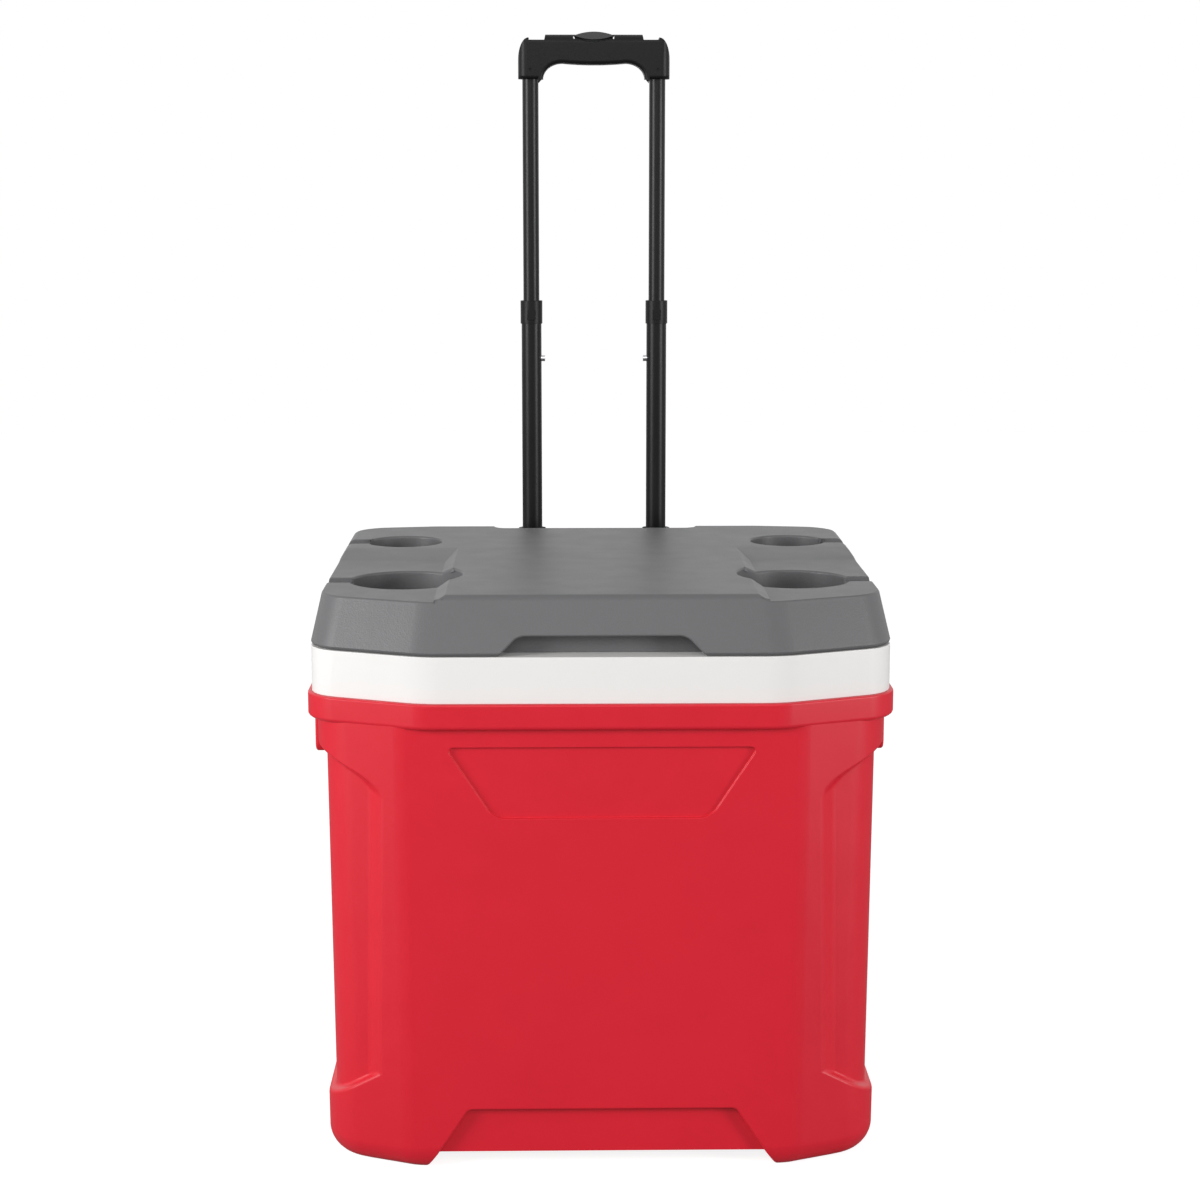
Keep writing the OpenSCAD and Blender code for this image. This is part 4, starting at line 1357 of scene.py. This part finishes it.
@dataclass
class PullHandle:
    """The housing on the back and the three-stage handle with its release button."""

    housing_soft: Softening = Softening(1.0 * MM)
    collar_soft: Softening = Softening(0.25 * MM)
    wire_soft: Softening = Softening(0.0)
    pressed_spring: float = 0.66
    tube: tuple[float, float, float] = (63.0, 276.0, 8.0)
    grip_top: float = 980.0
    grip_half_size: tuple[float, float] = (75.0, 14.0)
    leg: tuple[float, float, float] = (24.6, 43.0, 19.0)
    bar: tuple[float, float] = (27.5, 1.5)
    ear: tuple[float, float, float] = (10.5, 22.0, 3.0)
    notch: tuple[float, float] = (15.5, 5.3)
    corner_r: tuple[float, float] = (8.0, 9.0)
    edge_r: float = 3.6
    seam_r: float = 0.35
    button: tuple[float, float, float] = (20.0, 7.5, 2.5)
    button_lip: float = 0.92
    yoke: tuple[float, float] = (4.0, 11.0)
    channel_floor: float = 3.0
    socket: tuple[float, float] = (18.0, 16.0)
    rod_r: float = 3.4
    tie: tuple[float, float] = (9.0, 1.5)
    gap: float = 0.4

    def grip_profile(self) -> list[tuple[float, float, float]]:
        """The grip seen from the front."""
        half, top = self.grip_half_size[0], self.grip_top
        wide, leg_h, bend = self.leg
        foot, under = top - leg_h, top - self.bar[0]
        flat = half - wide - bend
        ear_in, ear_h, ear_drop = self.ear
        ear, floor = top - ear_drop, top - self.notch[1]
        inside = half - ear_in - self.notch[0]
        turns = [math.pi / 2 * i / 12 for i in range(13)]
        along = [flat * i / 6 for i in range(1, 6)]
        right = [(x, under - self.bar[1] * (1 - (x / flat) ** 2)) for x in along]
        right += [(flat + bend * math.sin(t), foot + (under - foot) * math.cos(t)) for t in turns]
        right += [(half, foot)]
        right += [(half - ear_in + ear_in * math.cos(t), ear - ear_h + ear_h * math.sin(t)) for t in turns]
        right += [(half - ear_in, floor), (inside, floor), (inside - 1, top)]
        left = [(-x, z) for x, z in reversed(right)]
        return [(x, z, 0) for x, z in right + left]

    def grip_form(self) -> Solid:
        """The whole grip before it is parted."""
        half, deep = self.grip_half_size
        y, top, foot = self.tube[1], self.grip_top, self.grip_top - self.leg[1]
        crown, corner = self.corner_r
        front = Solid.run(self.grip_profile(), y - 40, y + 40, "Y", Tag.GRIP)
        side = Solid.run([
            (y - deep, foot - 9, 0), (y + deep, foot - 9, 0), (y + deep, top, crown), (y - deep, top, crown)
        ], -FAR, FAR, "X", Tag.FACE, 8)
        plan = Solid.run([
            (-half, y - deep, corner), (half, y - deep, corner),
            (half, y + deep, corner), (-half, y + deep, corner)
        ], foot - 9, top + 9, "Z", Tag.FACE, 8)
        return front & side & plan

    def grip_room(self) -> list[Solid]:
        """The room in the grip for the tubes, the button and what it pushes."""
        x, y, tube_r = self.tube
        half, height, travel = self.button
        gap, top, foot = self.gap, self.grip_top, self.grip_top - self.leg[1]
        yoke, drop = self.yoke[0] + self.gap, self.yoke[1]
        yoke_top, channel = top - drop, top - self.bar[0] + self.channel_floor
        steps = [-1 + i / 12 for i in range(25)]
        under = top - height / 6 - travel - gap
        pocket = [(half * t, under - height / 2 * (1 - t * t)) for t in steps]
        tip = top - height / 6 + gap
        lip = self.button_lip * half
        lip_z = tip + height / 2 * (1 - self.button_lip ** 2)
        right = [(half + gap, pocket[-1][1] + gap), (half + gap, tip), (lip, lip_z), (lip, top + 5)]
        pocket += right + [(-at, z) for at, z in reversed(right)]
        web = half - 1 + gap
        rooms = [
            Solid.run([(at, z, 0) for at, z in pocket], y - 30, y + 30, "Y", Tag.ROOM),
            Solid.block((-x - yoke, y - yoke, channel), (x + yoke, y + yoke, yoke_top + gap), Tag.ROOM),
            Solid.block((-web, y - yoke, yoke_top - 1), (web, y + yoke, top), Tag.ROOM),
        ]
        socket, rod_from = self.socket
        tie_z, tie_r = self.tie
        for at in (-x, x):
            rooms.append(Solid.drum((at, y, foot - 1), socket, tube_r, "Z", Tag.ROOM, 48))
            rod = channel - foot - rod_from + 1
            rooms.append(Solid.drum((at, y, foot + rod_from), rod, self.rod_r, "Z", Tag.ROOM, 32))
            rooms.append(Solid.drum((at, y - 30, foot + tie_z), 60, tie_r, "Y", Tag.ROOM, 24))
        return rooms

    def grip_halves(self) -> list[bpy.types.Object]:
        """Carves the front and the back of the grip."""
        y = self.tube[1]
        form = self.grip_form()
        for room in self.grip_room():
            form = form - room
        halves = []
        for name, low, high in (("grip_front", y - 50, y), ("grip_back", y, y + 50)):
            part = form & Solid.block((-FAR, low, 0), (FAR, high, 2 * FAR), Tag.SEAM)
            part = part.cleaned(2 * WELD)
            part = part.rolled({Tag.FACE}, {Tag.GRIP}, self.edge_r, 5, 40, 0, self.grip_top - 12)
            part = part.rolled({Tag.FACE, Tag.GRIP}, {Tag.SEAM}, self.seam_r, 2, 40)
            halves.append(part.piece(name + "_moulding"))
        return halves

    def build(self, shop: Workshop) -> None:
        """Builds and dresses the sub-assembly."""
        shop.soften("handle_housing", Body.CHEST, BLACK, self.housing_soft)
        shop.dress("housing_screws", STEEL)
        for side in ("left", "right"):
            shop.dress(f"fixed_tube_{side}", TUBE)
            shop.dress(f"middle_tube_{side}", TUBE)
            shop.dress(f"inner_tube_{side}", TUBE)
            shop.soften(f"fixed_collar_{side}", Body.CHEST, BLACK, self.collar_soft)
            shop.soften(f"middle_collar_{side}", Body.MIDDLE_STAGE, BLACK, self.collar_soft)
            shop.dress(f"middle_guide_{side}", BLACK)
            shop.dress(f"inner_guide_{side}", BLACK)
        shop.dress("lock_pins", STEEL)
        for piece, node in zip(self.grip_halves(), ("grip_front", "grip_back")):
            shop.mount(piece, Body.INNER_STAGE, BLACK, node)
        shop.dress("grip_screws", BLACK)
        spring = shop.soften("button_spring", Body.INNER_STAGE, STEEL, self.wire_soft)
        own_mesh(spring)
        shop.soften("push_button", Body.BUTTON, DARK_GREY, self.collar_soft)
        shop.dress("release_yoke", BLACK)


@dataclass
class Drain:
    """The drain sleeve through the wall and its plug."""

    soft: Softening = Softening(0.3 * MM)

    def build(self, shop: Workshop) -> None:
        """Builds and dresses the sub-assembly."""
        shop.soften("drain_sleeve", Body.CHEST, WHITE, self.soft)
        shop.soften("drain_plug", Body.DRAIN_PLUG, WHITE, self.soft)


@dataclass(frozen=True)
class Lamp:
    """A square soft lamp: where it hangs, its side and its power in watts."""

    name: str
    place: Point
    size: float
    power: float

    def hang(self, target: Point) -> None:
        """Hangs the lamp and points it at a target."""
        data = bpy.data.lights.new(self.name, "AREA")
        data.size = self.size
        data.energy = self.power
        lamp = bpy.data.objects.new(self.name, data)
        lamp.location = self.place
        lamp.rotation_euler = (Vector(target) - Vector(self.place)).to_track_quat("-Z", "Y").to_euler()
        bpy.context.scene.collection.objects.link(lamp)


@dataclass
class Studio:
    """The camera at the photograph's angle, soft lamps, a pale floor and a white surround."""

    eye: Point = (-0.034, -2.223, 0.834)
    pitch: float = math.radians(-9.7)
    yaw: float = math.radians(-0.98)
    lens: float = 72.9
    sensor: float = 36.0
    shift: tuple[float, float] = (-0.0017, 0.0)
    floor_half: float = 6.0
    floor_colour: Colour = (0.35, 0.35, 0.35)
    floor_glow: float = 0.86
    ambient: float = 0.30
    lit_point: Point = (0.0, 0.0, 0.35)
    lamps: tuple[Lamp, ...] = (
        Lamp("key_left", (-2.1, -1.2, 1.0), 0.9, 44.0),
        Lamp("fill_right", (2.9, -1.7, 0.85), 0.8, 56.0),
        Lamp("fill_front", (-0.2, -2.7, 1.9), 1.2, 16.0),
        Lamp("top", (-0.9, -0.2, 2.8), 1.8, 1.5),
    )

    def camera(self) -> None:
        """Sets up the camera."""
        data = bpy.data.cameras.new("photo_camera")
        data.lens = self.lens
        data.sensor_width = self.sensor
        data.shift_x, data.shift_y = self.shift
        camera = bpy.data.objects.new("photo_camera", data)
        camera.location = self.eye
        camera.rotation_euler = (math.pi / 2 + self.pitch, 0.0, self.yaw)
        bpy.context.scene.collection.objects.link(camera)
        bpy.context.scene.camera = camera

    def floor(self) -> None:
        """Lays the floor."""
        shape = bmesh.new()
        bmesh.ops.create_grid(shape, x_segments=1, y_segments=1, size=self.floor_half)
        mesh = bpy.data.meshes.new("studio_floor")
        shape.to_mesh(mesh)
        shape.free()
        floor = bpy.data.objects.new("studio_floor", mesh)
        bpy.context.scene.collection.objects.link(floor)
        shader = Shader("floor_finish")
        seen = shader.ray("Camera")
        mottle = shader.noise(0.4, 2.0)
        colour = shader.mix(mottle, shade(self.floor_colour, 0.99), shade(self.floor_colour, 1.01))
        glow = shader.mix(seen, (0.0, 0.0, 0.0), (self.floor_glow,) * 3)
        floor.data.materials.append(
            shader.finish(Base_Color=colour, Roughness=0.9, Emission_Color=glow, Emission_Strength=1.0)
        )

    def surround(self) -> None:
        """Makes the world: white to look at, softer as a light."""
        world = bpy.data.worlds.new("white_surround")
        bpy.context.scene.world = world
        nodes = Nodes(world)
        seen = nodes.ray("Camera").most(nodes.ray("Glossy").most(nodes.ray("Transmission")))
        level = nodes.node("ShaderNodeMapRange", {}, {"Value": seen, "To Min": self.ambient, "To Max": 1.0})
        light = nodes.node("ShaderNodeBackground", {}, {"Color": (1.0, 1.0, 1.0, 1.0), "Strength": level})
        nodes.node("ShaderNodeOutputWorld", {}, {"Surface": light})

    def build(self) -> None:
        """Sets up the camera, the lamps, the floor and the surround."""
        bpy.context.scene.view_settings.view_transform = "Standard"
        self.camera()
        for lamp in self.lamps:
            lamp.hang(self.lit_point)
        self.floor()
        self.surround()


def main() -> None:
    """Builds the studio and each sub-assembly in order."""
    logging.basicConfig(level=logging.INFO, format="%(name)s: %(message)s")
    Studio().build()
    shop = Workshop()
    for assembly in (ChestBody(), HingedLid(), RollingGear(), PullHandle(), Drain()):
        assembly.build(shop)


if __name__ == "__main__":
    main()
